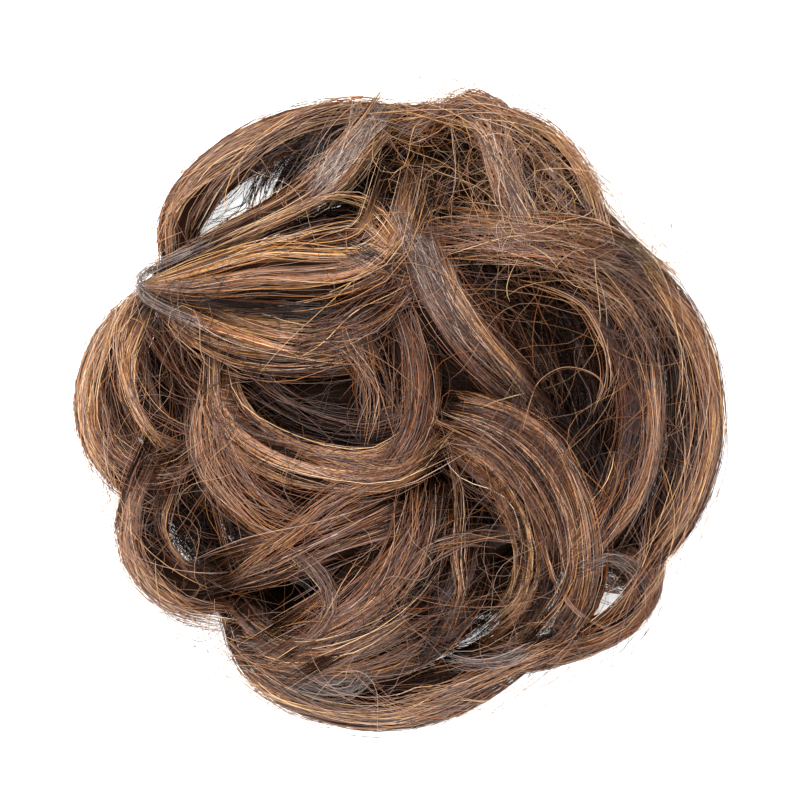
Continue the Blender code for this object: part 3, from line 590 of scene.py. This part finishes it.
def machine_sewn_weft(middle):
    """Machine sewn rows of hair roots: dark fibre that runs out from the middle,
    held down by rings of slightly paler stitches."""
    material, tree, shader = new_material("machine_sewn_weft", 0.6)
    radius, angle, height = ring_measures(tree, middle)
    place = add_node(tree, "ShaderNodeCombineXYZ", X=radius, Y=angle, Z=height)
    fibres = add_node(tree, "ShaderNodeMapping", Vector=place.outputs["Vector"],
                      Scale=(0.25, 90.0, 0.4))
    roots = add_node(tree, "ShaderNodeTexNoise", Vector=fibres.outputs["Vector"], Scale=1.0,
                     Detail=2.0).outputs["Fac"]
    rows = ripple(tree, radius, ROW_MM)
    stitches = add_node(tree, "ShaderNodeMath", {"operation": "MULTIPLY"}, rows,
                        ripple(tree, angle, 2 * pi / ROW_STITCHES))
    thread = add_node(tree, "ShaderNodeMapRange", Value=stitches.outputs["Value"],
                      From_Min=0.55)
    hair = set_ramp(add_node(tree, "ShaderNodeValToRGB", Fac=roots), [
        (0.30, "#100804"), (0.55, "#28170e"), (0.75, "#452a1a")])
    paler = add_node(tree, "ShaderNodeMix", {"data_type": "RGBA"})
    inputs = {one.identifier: one for one in paler.inputs}
    outputs = {one.identifier: one for one in paler.outputs}
    tree.links.new(thread.outputs["Result"], inputs["Factor_Float"])
    tree.links.new(hair, inputs["A_Color"])
    inputs["B_Color"].default_value = linear("#57402f")
    tree.links.new(outputs["Result_Color"], shader.inputs["Base Color"])
    relief = add_node(tree, "ShaderNodeMath", {"operation": "MULTIPLY_ADD"}, rows, 0.5, roots)
    bump = add_node(tree, "ShaderNodeBump", Height=relief.outputs["Value"], Strength=0.8,
                    Distance=0.4 * MM)
    tree.links.new(bump.outputs["Normal"], shader.inputs["Normal"])
    return material


def cast_opal_acrylic():
    """Cast opal acrylic sheet lit from below: an even white that swallows the
    shadow round the bun and shines up through its gaps."""
    material, _, shader = new_material("cast_opal_acrylic", 0.9)
    shader.inputs["Base Color"].default_value = linear("#f4f4f4")
    shader.inputs["Emission Color"].default_value = linear("#ffffff")
    shader.inputs["Emission Strength"].default_value = 0.6
    return material


def smooth_route(stations, count):
    """Evenly spaced points of a Catmull-Rom curve through the stations."""
    points = np.array(stations, dtype=float)
    points = np.vstack([2 * points[0] - points[1], points, 2 * points[-1] - points[-2]])
    share = np.linspace(0.0, 1.0, ROUTE_STEPS, endpoint=False)[:, None]
    pieces = []
    for p0, p1, p2, p3 in zip(points, points[1:], points[2:], points[3:]):
        pieces.append(0.5 * (2 * p1 + (p2 - p0) * share
                             + (2 * p0 - 5 * p1 + 4 * p2 - p3) * share ** 2
                             + (3 * p1 - p0 - 3 * p2 + p3) * share ** 3))
    curve = np.vstack(pieces + [points[-2:-1]])
    steps = np.linalg.norm(np.diff(curve, axis=0), axis=1)
    walked = np.concatenate([[0.0], np.cumsum(steps)])
    wanted = np.linspace(0.0, walked[-1], count)
    return np.column_stack([np.interp(wanted, walked, curve[:, axis]) for axis in (0, 1)])


def arc_stations(radius, start, end):
    """Stations along an arc round the middle, with its angles in degrees."""
    angles = np.radians(np.linspace(start, end, BED_STATIONS))
    return np.column_stack([radius * np.cos(angles), radius * np.sin(angles)])


def directions(line):
    """Unit vectors along a plan line and to its right."""
    ahead = np.gradient(line, axis=0)
    ahead /= np.linalg.norm(ahead, axis=1)[:, None]
    return ahead, np.column_stack([ahead[:, 1], -ahead[:, 0]])


def softened(values, wrap):
    """Average each value with its neighbours, round the ring if it wraps."""
    if wrap:
        return (np.roll(values, 1, axis=1) + 2 * values + np.roll(values, -1, axis=1)) / 4
    padded = np.vstack([values[:1], values, values[-1:]])
    return (padded[:-2] + 2 * values + padded[2:]) / 4


class Form:
    """The form of a lock: its middle line and how far its surface lies round it."""

    def __init__(self, node, stations, origin):
        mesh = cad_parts[node].data
        tree = BVHTree.FromPolygons([v.co for v in mesh.vertices],
                                    [p.vertices[:] for p in mesh.polygons])
        plan = smooth_route(np.array(stations) * PLAN, FORM_RINGS) + origin
        shares = np.linspace(0.0, 1.0, FORM_RINGS)
        felt = np.clip(shares, END_SHARE, 1.0 - END_SHARE)
        inner = np.column_stack([np.interp(felt, shares, plan[:, axis]) for axis in (0, 1)])
        aside = directions(plan)[1]
        angles = np.arange(FORM_RAYS) * 2 * pi / FORM_RAYS
        self.middle = np.zeros((FORM_RINGS, 3))
        self.reach = np.zeros((FORM_RINGS, FORM_RAYS))
        for ring, (x, y) in enumerate(inner):
            top = tree.ray_cast(Vector((x, y, SKY)), Vector((0, 0, -1)))[0].z
            low = tree.ray_cast(Vector((x, y, -SKY)), Vector((0, 0, 1)))[0].z
            centre = Vector((x, y, (top + low) / 2))
            self.middle[ring] = (*plan[ring], centre.z)
            for ray, angle in enumerate(angles):
                way = Vector((*(aside[ring] * np.cos(angle)), np.sin(angle)))
                self.reach[ring, ray] = tree.ray_cast(centre, way)[3] or 0.0
        for _ in range(FORM_SMOOTHINGS):
            self.reach = softened(softened(self.reach, True), False)
            self.middle[:, 2:] = softened(self.middle[:, 2:], False)
        self.aside = np.column_stack([aside, np.zeros(FORM_RINGS)])
        self.length = np.linalg.norm(np.diff(self.middle, axis=0), axis=1).sum()
        self.ahead = [self.middle[1] - self.middle[0], self.middle[-1] - self.middle[-2]]
        self.ahead = [way / np.linalg.norm(way) for way in self.ahead]
        width = self.reach[:, 0] + self.reach[:, FORM_RAYS // 2]
        self.opening = width.max() / width

    def row(self, table, share):
        """A table's rows at any share of the length, between its own rings."""
        spot = np.clip(share, 0.0, 1.0) * (FORM_RINGS - 1)
        low = np.minimum(spot.astype(int), FORM_RINGS - 2)
        part = spot - low
        if table.ndim == 2:
            part = part[..., None]
        return table[low] * (1 - part) + table[low + 1] * part

    def surface(self, share, angle):
        """How far the surface lies from the middle line, at any share and angle."""
        turn = np.mod(angle / (2 * pi), 1.0) * FORM_RAYS
        before = np.floor(turn).astype(int) % FORM_RAYS
        part = turn - np.floor(turn)
        rows = self.row(self.reach, share)
        near = np.take_along_axis(rows, before[..., None], axis=-1)[..., 0]
        after = np.take_along_axis(rows, ((before + 1) % FORM_RAYS)[..., None], axis=-1)[..., 0]
        return near * (1 - part) + after * part

    def point(self, share, angle, depth, fan):
        """Points at a share of the length, an angle round the middle line and a
        depth, 1 on the surface. Past the ends they run on straight."""
        reach = self.surface(share, angle) * depth
        inside = np.clip(share, 0.0, 1.0)
        open_here = fan[0] * (1 - inside) + fan[1] * inside
        opening = np.minimum(self.row(self.opening, share), WIDEST_OPENING)
        wide = 1 + (opening - 1) * open_here
        places = (self.row(self.middle, share)
                  + (reach * wide * np.cos(angle))[..., None] * self.row(self.aside, share))
        places[..., 2] += reach * np.sin(angle)
        before = np.minimum(share, 0.0)[..., None] * self.length
        after = np.maximum(share - 1.0, 0.0)[..., None] * self.length
        return places + before * self.ahead[0] + after * self.ahead[1]


class Skin:
    """Corners and faces of many small closed shapes, gathered for one mesh."""

    def __init__(self):
        self.corners = []
        self.faces = []
        self.uvs = []
        self.finish = []
        self.values = {"tone": [], "along": [], "across": [], "lit": [], "ash": []}
        self.count = 0

    def add(self, corners, faces, uvs, finish, **values):
        """Add shapes. faces and uvs hold an array for each number of sides."""
        self.corners.append(corners)
        self.faces += [part + self.count for part in faces]
        self.uvs += uvs
        self.finish += [np.full(len(part), finish) for part in faces]
        for name, kept in self.values.items():
            kept.append(np.broadcast_to(values.get(name, 0.0), len(corners)))
        self.count += len(corners)

    def mesh(self, name, finishes):
        """One smooth mesh of all the shapes, with their map and their values."""
        mesh = bpy.data.meshes.new(name)
        loops = np.concatenate([part.ravel() for part in self.faces])
        sizes = np.concatenate([np.full(len(part), part.shape[1]) for part in self.faces])
        mesh.vertices.add(self.count)
        mesh.vertices.foreach_set("co", np.concatenate(self.corners).astype(np.float32).ravel())
        mesh.loops.add(len(loops))
        mesh.loops.foreach_set("vertex_index", loops.astype(np.int32))
        mesh.polygons.add(len(sizes))
        mesh.polygons.foreach_set("loop_start", (np.cumsum(sizes) - sizes).astype(np.int32))
        mesh.polygons.foreach_set("material_index", np.concatenate(self.finish).astype(np.int32))
        uvs = np.concatenate([part.reshape(-1, 2) for part in self.uvs])
        mesh.uv_layers.new(name="OFBake").data.foreach_set("uv", uvs.astype(np.float32).ravel())
        for label, kept in self.values.items():
            attribute = mesh.attributes.new(label, "FLOAT", "POINT")
            attribute.data.foreach_set("value", np.concatenate(kept).astype(np.float32))
        mesh.update(calc_edges=True)
        mesh.shade_smooth()
        for finish in finishes:
            mesh.materials.append(finish)
        return mesh


def add_piece(name, mesh, replaced=()):
    """Put a finished mesh in the scene as a piece that rides with the frame."""
    thing = bpy.data.objects.new(name, mesh)
    bpy.context.scene.collection.objects.link(thing)
    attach(thing, "root")
    if replaced:
        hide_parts(*replaced)


def add_strands(skin, paths, radii, tones, lit, strip, ash=0.0):
    """Closed three-sided tubes along paths of (strand, point, place)."""
    count, points, _ = paths.shape
    tangent = np.gradient(paths, axis=1)
    tangent /= np.linalg.norm(tangent, axis=2)[..., None] + 1e-12
    side = np.cross(tangent, (0.013, 0.017, 1.0))
    side /= np.linalg.norm(side, axis=2)[..., None] + 1e-12
    over = np.cross(side, tangent)
    turns = np.arange(STRAND_SIDES) * 2 * pi / STRAND_SIDES
    ring = (np.cos(turns)[:, None] * side[:, :, None, :]
            + np.sin(turns)[:, None] * over[:, :, None, :])
    corners = paths[:, :, None, :] + radii[..., None, None] * ring
    index = np.arange(count * points * STRAND_SIDES).reshape(count, points, STRAND_SIDES)
    here, there = index[:, :-1], index[:, 1:]
    quads = np.stack([here, there, np.roll(there, -1, 2), np.roll(here, -1, 2)], -1)
    # Each side of each strand has a narrow column of its own on the map
    low = np.arange(count)[:, None, None] + (np.arange(STRAND_SIDES) / STRAND_SIDES)
    low = np.broadcast_to(strip[0] + (strip[1] - strip[0]) * low / count,
                          (count, points - 1, STRAND_SIDES))
    high = low + (strip[1] - strip[0]) / (count * STRAND_SIDES)
    share = np.linspace(0.0, 1.0, points)
    start = np.broadcast_to(share[:-1][None, :, None], low.shape)
    end = np.broadcast_to(share[1:][None, :, None], low.shape)
    quad_uvs = np.stack([np.stack([low, start], -1), np.stack([low, end], -1),
                         np.stack([high, end], -1), np.stack([high, start], -1)], -2)
    caps = np.concatenate([index[:, 0], index[:, -1, ::-1]])
    cap_uvs = np.zeros((len(caps), STRAND_SIDES, 2))
    cap_uvs[..., 0] = np.concatenate([low[:, 0], low[:, 0, ::-1]])
    cap_uvs[count:, :, 1] = 1.0
    tone = np.repeat(tones, points * STRAND_SIDES)
    along = np.broadcast_to(share[None, :, None], index.shape).ravel()
    skin.add(corners.reshape(-1, 3), [quads.reshape(-1, 4), caps],
             [quad_uvs.reshape(-1, 4, 2), cap_uvs], 0, tone=tone, along=along,
             lit=np.repeat(lit.ravel(), STRAND_SIDES), ash=ash)


def add_core(skin, node, form):
    """The solid's own copy, rounded and drawn in, as the inside of the lock."""
    bm = bmesh.new()
    bm.from_mesh(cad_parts[node].data)
    bmesh.ops.remove_doubles(bm, verts=bm.verts, dist=MERGE_DISTANCE)
    bmesh.ops.subdivide_edges(bm, edges=bm.edges, cuts=1, use_grid_fill=True)
    for _ in range(CORE_SMOOTHINGS):
        bmesh.ops.smooth_vert(bm, verts=bm.verts, factor=0.5, use_axis_x=True,
                              use_axis_y=True, use_axis_z=True)
    bmesh.ops.triangulate(bm, faces=bm.faces)
    bm.normal_update()
    places = np.array([v.co - v.normal * CORE_INSET for v in bm.verts])
    faces = np.array([[v.index for v in face.verts] for face in bm.faces])
    bm.free()
    apart = np.linalg.norm(places[:, None, :2] - form.middle[None, :, :2], axis=2)
    ring = apart.argmin(axis=1)
    offset = ((places - form.middle[ring]) * form.aside[ring]).sum(axis=1)
    along = ring / (FORM_RINGS - 1)
    u = (CORE_STRIP[0] + (CORE_STRIP[1] - CORE_STRIP[0])
         * (0.5 + 0.5 * offset / np.abs(offset).max()))
    skin.add(places, [faces], [np.stack([u, along], -1)[faces]], 1,
             along=along * form.length / CORE_LINE[1], across=offset / CORE_LINE[0])


def waves(random, count, points, size, slow=0.4, fast=1.3):
    """Smooth random wander along each strand, of about the given size."""
    share = np.linspace(0.0, 1.0, points)[None, :]
    total = np.zeros((count, points))
    for _ in range(2):
        pace = random.uniform(slow, fast, (count, 1))
        phase = random.uniform(0.0, 1.0, (count, 1))
        total += np.sin(2 * pi * (pace * share + phase)) * random.normal(0, 0.7, (count, 1))
    return total * size


def strand_radii(random, count, points, scale=1.0):
    """Thickness along each strand, thinner towards its cut tip."""
    taper = np.interp(np.linspace(0.0, 1.0, points), *TIP_TAPER)
    return random.uniform(*STRAND_RADIUS, (count, 1)) * taper[None, :] * scale


def strand_tones(random, count, middle):
    """A tone for each strand: most near the middle one, some golden, some dark."""
    kind = random.random(count)
    tones = middle + random.normal(0, TONE_SPREAD, count)
    tones += np.where(kind < GOLDEN_SHARE, ODD_TONE, 0.0)
    tones -= np.where(kind > 1 - DARK_SHARE, ODD_TONE, 0.0)
    return np.clip(tones, 0.02, 0.98)


def step_count(length):
    """How many points a strand of this length gets."""
    return int(np.clip(round(length / STRAND_STEP), FEWEST_STEPS, MOST_STEPS)) + 1


def lock_strands(random, form, lock, pile, skin):
    """Strands of one lock, in clumps that wander over its surface, and strays."""
    count = lock.strands
    points = step_count(form.length)
    clumps = max(4, round(count / CLUMP_STRANDS))
    top = round(clumps * (1 - UNDER_SHARE))
    angle = np.concatenate([
        np.linspace(0.0, pi, top) + random.normal(0, 0.08, top),
        random.uniform(pi, 2 * pi, clumps - top)])
    depth = random.uniform(*CLUMP_DEPTH, clumps)
    line = np.linspace(0, 1, points)[None, :]
    wander = (waves(random, clumps, points, CLUMP_WANDER)
              + random.normal(0, CLUMP_DRIFT, (clumps, 1)) * (line - 0.5))
    sink = waves(random, clumps, points, 0.05)
    tone = random.normal(0.0, CLUMP_TONE, clumps)
    breadth = random.uniform(0.6, 1.4, clumps) * CLUMP_HALF_ANGLE
    pinch = 1 + waves(random, clumps, points, 0.35)
    ragged = random.uniform(-0.07, 0.07, (clumps, 2))

    which = random.integers(0, clumps, count)
    aside = np.clip(random.normal(0, 0.5, count), -1.3, 1.3)
    stray = random.random(count) < STRAY_SHARE
    loose = np.where(stray, STRAY_WANDER, 1.0)[:, None]
    past = np.array(lock.reach) * MM / form.length
    longer = np.where(stray, 0.04, 0.0)
    start = ragged[which, 0] + random.uniform(-past[0], 0.10, count) - longer
    end = 1 + ragged[which, 1] + random.uniform(-0.10, past[1], count) + longer
    if lock.fan[0] == 0:
        start = random.uniform(-0.015, 0.01, count)
    share = start[:, None] + (end - start)[:, None] * line

    drift = random.normal(0, STRAND_DRIFT, (count, 1)) * (line - 0.5)
    angles = (angle[which][:, None] + wander[which] + drift * loose
              + aside[:, None] * breadth[which][:, None] * pinch[which]
              + waves(random, count, points, 0.05) * loose)
    parting = waves(random, 1, points, 0.30) + random.uniform(0, 2 * pi)
    groove = (0.5 - 0.5 * np.cos(BUNDLES * angles + parting)) ** 0.7
    crest = CLUMP_CREST * (1 - aside ** 2)[:, None] + GROOVE_DEPTH * (groove - 1)
    depths = (depth[which][:, None] + sink[which] + crest - CLUMP_CREST * 0.5
              - random.uniform(0, 0.12, (count, 1))
              + waves(random, count, points, 0.025) * loose
              + np.where(stray, random.uniform(0.0, STRAY_LIFT, count), 0.0)[:, None])
    paths = form.point(share, angles, depths, lock.fan)
    near_start = np.clip(1 - share / DIVE_SHARE, 0, 1) ** 2
    near_end = np.clip(1 - (1 - share) / DIVE_SHARE, 0, 1) ** 2
    open_ends = near_start * min(1.0, lock.fan[0] * 2) + near_end * min(1.0, lock.fan[1] * 2)
    paths[..., 2] -= DIVE * open_ends * random.uniform(0.4, 1.2, (count, 1))
    paths[..., 2] = np.maximum(paths[..., 2], LOCK_FLOOR)

    tones = strand_tones(random, count, lock.tone + tone[which] + np.where(stray, 0.12, 0.0))
    # Painted light and shade: strands on top of the lock lighter, on its flanks, in its grooves and at
    # its diving ends darker, strays at one level, all darker in the bun's hollows and lighter at its
    # outline
    lit = (np.clip(0.30 + 0.75 * np.sin(angles), 0, 1) * (1 - 0.50 * aside ** 2)[:, None]
           - 0.45 * open_ends)
    lit *= 1 - GROOVE_SHADE * (1 - groove)
    lit = np.where(stray[:, None], STRAY_LIT, lit) * pile.daylight(paths)
    lit = np.maximum(lit, RIM_LIT * pile.rim(paths))
    radii = strand_radii(random, count, points)
    radii = radii * np.where(stray, STRAY_THICKNESS, 1.0)[:, None]
    add_strands(skin, paths, radii, tones, lit, LOCK_STRIP)


class Pile:
    """Height map of the whole bun, and the tent that spans its hollows."""

    def __init__(self, origin):
        corners, faces = [], []
        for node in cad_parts.values():
            first = len(corners)
            corners += [v.co for v in node.data.vertices]
            faces += [[first + i for i in p.vertices] for p in node.data.polygons]
        tree = BVHTree.FromPolygons(corners, faces)
        spots = np.arange(-MAP_HALF, MAP_HALF, MAP_STEP)
        height = np.zeros((len(spots), len(spots)))
        for row, y in enumerate(spots):
            for column, x in enumerate(spots):
                hit = tree.ray_cast(Vector((x, y, SKY)), Vector((0, 0, -1)))[0]
                height[row, column] = hit.z if hit else 0.0
        self.height = height
        tent = height.copy()
        for _ in range(TENT_SMOOTHINGS):
            tent = np.maximum(height, softened(softened(tent, True), False))
        self.tent = softened(softened(tent, True), False)
        self.origin = origin

    def read(self, table, places):
        """A map's height at any places, between its own spots."""
        spot = np.clip((places + MAP_HALF) / MAP_STEP, 0, len(table) - 1.001)
        low = spot.astype(int)
        part = spot - low
        x, y = low[..., 0], low[..., 1]
        across, up = part[..., 0], part[..., 1]
        return ((table[y, x] * (1 - across) + table[y, x + 1] * across) * (1 - up)
                + (table[y + 1, x] * (1 - across) + table[y + 1, x + 1] * across) * up)

    def radius(self, places):
        """How far places lie from the middle of the bun."""
        return np.linalg.norm(places[..., :2] - self.origin, axis=-1)

    def rim(self, places):
        """1 at the outline of the bun, where light comes in from the side, else 0."""
        share = self.radius(places) / BUN_RADIUS
        return np.clip((share - RIM_LIGHT[0]) / (RIM_LIGHT[1] - RIM_LIGHT[0]), 0.0, 1.0)

    def daylight(self, paths):
        """Share of the daylight at each point: little of it reaches the hollows."""
        depth = self.read(self.tent, paths[..., :2]) - paths[..., 2]
        shaded = np.clip(1.12 - depth / SHADE_DEPTH, 0.0, 1.0) ** 1.3
        return np.maximum(shaded, self.rim(paths))

    def held_in(self, places):
        """Bend what would leave the bun's outline back along it."""
        radius = self.radius(places)
        limit = LOOSE_LIMIT * BUN_RADIUS
        kept = np.where(radius > limit, limit + (radius - limit) * 0.15, radius)
        return self.origin + (places - self.origin) * (kept / np.maximum(radius, MM))[..., None]

    def laid(self, places, span, above):
        """Lay plan paths on the bun: span 0 follows each dip, 1 spans them.
        Past the outline they stay in the air and don't hang down to the floor."""
        height = self.read(self.height, places)
        tent = self.read(self.tent, places)
        past_outline = (self.radius(places) > RIM_LIGHT[0] * BUN_RADIUS) & (height < 1 * MM)
        height = np.where(past_outline, tent, height)
        z = height + (tent - height) * span[:, None]
        for _ in range(3):
            z[:, 1:-1] = (z[:, :-2] + 2 * z[:, 1:-1] + z[:, 2:]) / 4
        z = np.maximum(z, height - 0.4 * MM) + above
        return np.concatenate([places, np.maximum(z, LOOSE_FLOOR)[..., None]], axis=-1)


def add_loose(skin, pile, paths, tones, radii, lit, ash=0.0):
    """Loose strands, lit by lit[0] in the dark and lit[1] more in full daylight."""
    add_strands(skin, paths, radii, tones, lit[0] + lit[1] * pile.daylight(paths),
                LOOSE_STRIP, ash)


def wisp_strands(random, pile, wisp, skin):
    """A thin stream of strands that follows its own route over the locks."""
    route = np.array(wisp.stations) * PLAN
    length = np.linalg.norm(np.diff(route, axis=0), axis=1).sum()
    points = step_count(length * 1.2) if wisp.strands > FEW_STRANDS else FINE_STEPS
    line = smooth_route(route, FORM_RINGS) + pile.origin
    ahead, right = directions(line)
    count = wisp.strands
    start = random.uniform(-0.10, 0.12, count)[:, None]
    end = random.uniform(0.88, 1.12, count)[:, None]
    share = start + (end - start) * np.linspace(0, 1, points)[None, :]
    inside = np.clip(share, 0, 1)
    spot = inside * (FORM_RINGS - 1)
    rings = np.arange(FORM_RINGS)
    middle = np.stack([np.interp(spot, rings, line[:, axis]) for axis in (0, 1)], -1)
    aside = np.stack([np.interp(spot, rings, right[:, axis]) for axis in (0, 1)], -1)
    past = (share - inside) * length
    middle = middle + np.where(past < 0, past, 0)[..., None] * ahead[0]
    middle = middle + np.where(past > 0, past, 0)[..., None] * ahead[-1]
    offset = (random.normal(0, 0.5, (count, 1)) + waves(random, count, points, 0.35)) * wisp.width
    places = middle + (offset * MM)[..., None] * aside
    above = (wisp.lift * MM * (0.4 + np.sin(pi * inside))
             + random.uniform(-0.2, 0.6, (count, 1)) * MM
             + waves(random, count, points, 0.25) * MM)
    paths = pile.laid(places, random.uniform(0.3, 0.9, count), above)
    tones = strand_tones(random, count, np.full(count, wisp.tone))
    radii = strand_radii(random, count, points, WISP_THICKNESS)
    add_loose(skin, pile, paths, tones, radii, WISP_LIT, wisp.ash)


def walks(turn, length):
    """Plan paths with a heading at each step, round their own middle point."""
    step = (length / (LOOSE_STEPS - 1))[:, None]
    path = np.stack([np.cumsum(np.cos(turn) * step, axis=1),
                     np.cumsum(np.sin(turn) * step, axis=1)], axis=-1)
    return path - path[:, LOOSE_STEPS // 2][:, None, :]


def swarm_strands(random, pile, swarm, skin):
    """Loose strands that cross one region of the bun in many directions."""
    count = swarm.strands
    length = random.uniform(*swarm.length, count) * MM
    line = np.linspace(-0.5, 0.5, LOOSE_STEPS)[None, :]
    bend = np.radians(random.normal(0, swarm.bend, count))[:, None]
    twist = np.radians(random.normal(0, swarm.bend * 0.5, count))[:, None]
    turn = (np.radians(swarm.heading + random.normal(0, swarm.turn, count))[:, None]
            + bend * line + twist * np.sin(2 * pi * line))
    middle = (np.array(swarm.place) * PLAN + pile.origin
              + random.normal(0, 0.5, (count, 2)) * np.array(swarm.spread) * PLAN)
    places = pile.held_in(middle[:, None, :] + walks(turn, length))
    above = (random.uniform(*swarm.lift, (count, 1)) * MM
             + waves(random, count, LOOSE_STEPS, 0.4, 0.3, 0.8) * MM)
    paths = pile.laid(places, random.uniform(*swarm.span, count), above)
    tones = strand_tones(random, count, np.full(count, swarm.tone))
    radii = strand_radii(random, count, LOOSE_STEPS, SWARM_THICKNESS)
    add_loose(skin, pile, paths, tones, radii, SWARM_LIT, swarm.ash)


def edge_strands(random, pile, count, skin):
    """Flyaways that leave the outline at a low angle and curve back or out."""
    length = random.uniform(14, 44, count) * MM
    round_bun = random.uniform(0, 2 * pi, count)
    radius = random.uniform(0.90, 1.0, count) * BUN_RADIUS
    middle = np.stack([np.cos(round_bun), np.sin(round_bun)], -1) * radius[:, None] + pile.origin
    side = np.where(random.random(count) < 0.5, 1.0, -1.0)
    line = np.linspace(-0.5, 0.5, LOOSE_STEPS)[None, :]
    heading = round_bun + side * pi / 2 + np.radians(random.normal(0, 14, count))
    bend = side * np.radians(random.normal(38, 26, count))
    places = middle[:, None, :] + walks(heading[:, None] + bend[:, None] * line, length)
    above = (random.uniform(0.0, 5.0, (count, 1)) * MM
             + waves(random, count, LOOSE_STEPS, 0.6) * MM)
    paths = pile.laid(pile.held_in(places), np.ones(count), above)
    tones = strand_tones(random, count, np.full(count, EDGE_TONE))
    radii = strand_radii(random, count, LOOSE_STEPS, SWARM_THICKNESS)
    add_loose(skin, pile, paths, tones, radii, EDGE_LIT)


def build_lock(lock, seed, pile, fibre, inside):
    """One lock: its inside, drawn near black as painted shade, and its strands, as one piece."""
    form = Form(lock.name, lock.stations, pile.origin)
    skin = Skin()
    add_core(skin, lock.name, form)
    lock_strands(np.random.default_rng(seed), form, lock, pile, skin)
    name = lock.name + "_hair"
    add_piece(name, skin.mesh(name, [fibre, inside]), [lock.name])


def lay_loose(kind, name, seed, pile, what, fibre):
    """One wisp or swarm of loose strands as a piece of its own."""
    skin = Skin()
    kind(np.random.default_rng(seed), pile, what, skin)
    add_piece(name, skin.mesh(name, [fibre]))


def area_light(name, place, size, power, colour):
    """A square soft box that faces the bun."""
    data = bpy.data.lights.new(name, "AREA")
    data.energy = power
    data.size = size
    data.color = linear(colour)[:3]
    lamp = bpy.data.objects.new(name, data)
    lamp.location = place
    lamp.rotation_euler = Vector(place).to_track_quat("Z", "Y").to_euler()
    bpy.context.scene.collection.objects.link(lamp)


def add_floor(material):
    """The plain sheet that the bun lies on."""
    bm = bmesh.new()
    bmesh.ops.create_grid(bm, x_segments=1, y_segments=1, size=3.0)
    mesh = bpy.data.meshes.new("floor")
    bm.to_mesh(mesh)
    bm.free()
    mesh.materials.append(material)
    floor = bpy.data.objects.new("floor", mesh)
    bpy.context.scene.collection.objects.link(floor)


def add_camera(outline_width):
    """A long lens straight above, framed as the photo frames the outline."""
    pixel = outline_width / OUTLINE_PIXELS
    data = bpy.data.cameras.new("camera")
    data.sensor_width = SENSOR
    data.lens = SENSOR * (CAMERA_HEIGHT - RIM_HEIGHT) / (pixel * IMAGE_PIXELS)
    camera = bpy.data.objects.new("camera", data)
    camera.location = ((IMAGE_PIXELS / 2 - OUTLINE_MIDDLE[0]) * pixel,
                       (OUTLINE_MIDDLE[1] - IMAGE_PIXELS / 2) * pixel, CAMERA_HEIGHT)
    bpy.context.scene.collection.objects.link(camera)
    bpy.context.scene.camera = camera


def light_studio():
    """White surroundings and two soft boxes above the bun."""
    scene = bpy.context.scene
    scene.view_settings.view_transform = "Standard"
    world = bpy.data.worlds.new("studio")
    world.use_nodes = True
    background = world.node_tree.nodes["Background"]
    background.inputs["Color"].default_value = linear("#ffffff")
    background.inputs["Strength"].default_value = 0.55
    scene.world = world
    area_light("key_light", (-0.40, 0.55, 1.6), 0.6, 72, "#fffaf4")
    area_light("top_light", (0.15, -0.25, 1.9), 1.0, 40, "#ffffff")


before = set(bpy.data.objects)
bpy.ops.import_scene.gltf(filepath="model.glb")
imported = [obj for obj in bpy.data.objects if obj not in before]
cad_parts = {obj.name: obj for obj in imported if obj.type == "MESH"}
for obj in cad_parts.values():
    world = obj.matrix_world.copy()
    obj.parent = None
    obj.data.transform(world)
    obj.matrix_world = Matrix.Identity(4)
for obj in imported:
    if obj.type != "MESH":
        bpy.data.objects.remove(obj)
cad_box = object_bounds()


def main():
    """Dress the band, the weft base and every lock, then light and frame them."""
    band_low, band_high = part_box("elastic_band")
    origin = np.array((band_low + band_high) / 2)[:2]
    fibre = extruded_hair_fibre()
    # The inside of every lock is drawn near black as painted shade
    inside = shaded_inner_hair()
    for node, material in (("elastic_band", braided_polyester_elastic(origin)),
                           ("weft_base", machine_sewn_weft(origin))):
        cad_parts[node].data.materials.clear()
        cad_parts[node].data.materials.append(material)
    pile = Pile(origin)
    # The bed locks get a low tone as painted shade
    beds = [Lock(name, "hair_deep", BED_STRANDS, 0.12, (1, 1), (5, 5),
                 arc_stations(radius, start, end)) for name, radius, start, end in BED_ARCS]
    for seed, lock in enumerate(beds + LOCKS):
        build_lock(lock, seed, pile, fibre, inside)
    for kind, table, first_seed in ((wisp_strands, WISPS, LOOSE_SEED),
                                    (swarm_strands, SWARMS, 2 * LOOSE_SEED)):
        for seed, row in enumerate(table):
            lay_loose(kind, row.name, first_seed + seed, pile, row, fibre)
    lay_loose(edge_strands, "flyaways", 3 * LOOSE_SEED, pile, EDGE_STRANDS, fibre)
    add_floor(cast_opal_acrylic())
    light_studio()
    add_camera(cad_box[1].x - cad_box[0].x)


main()
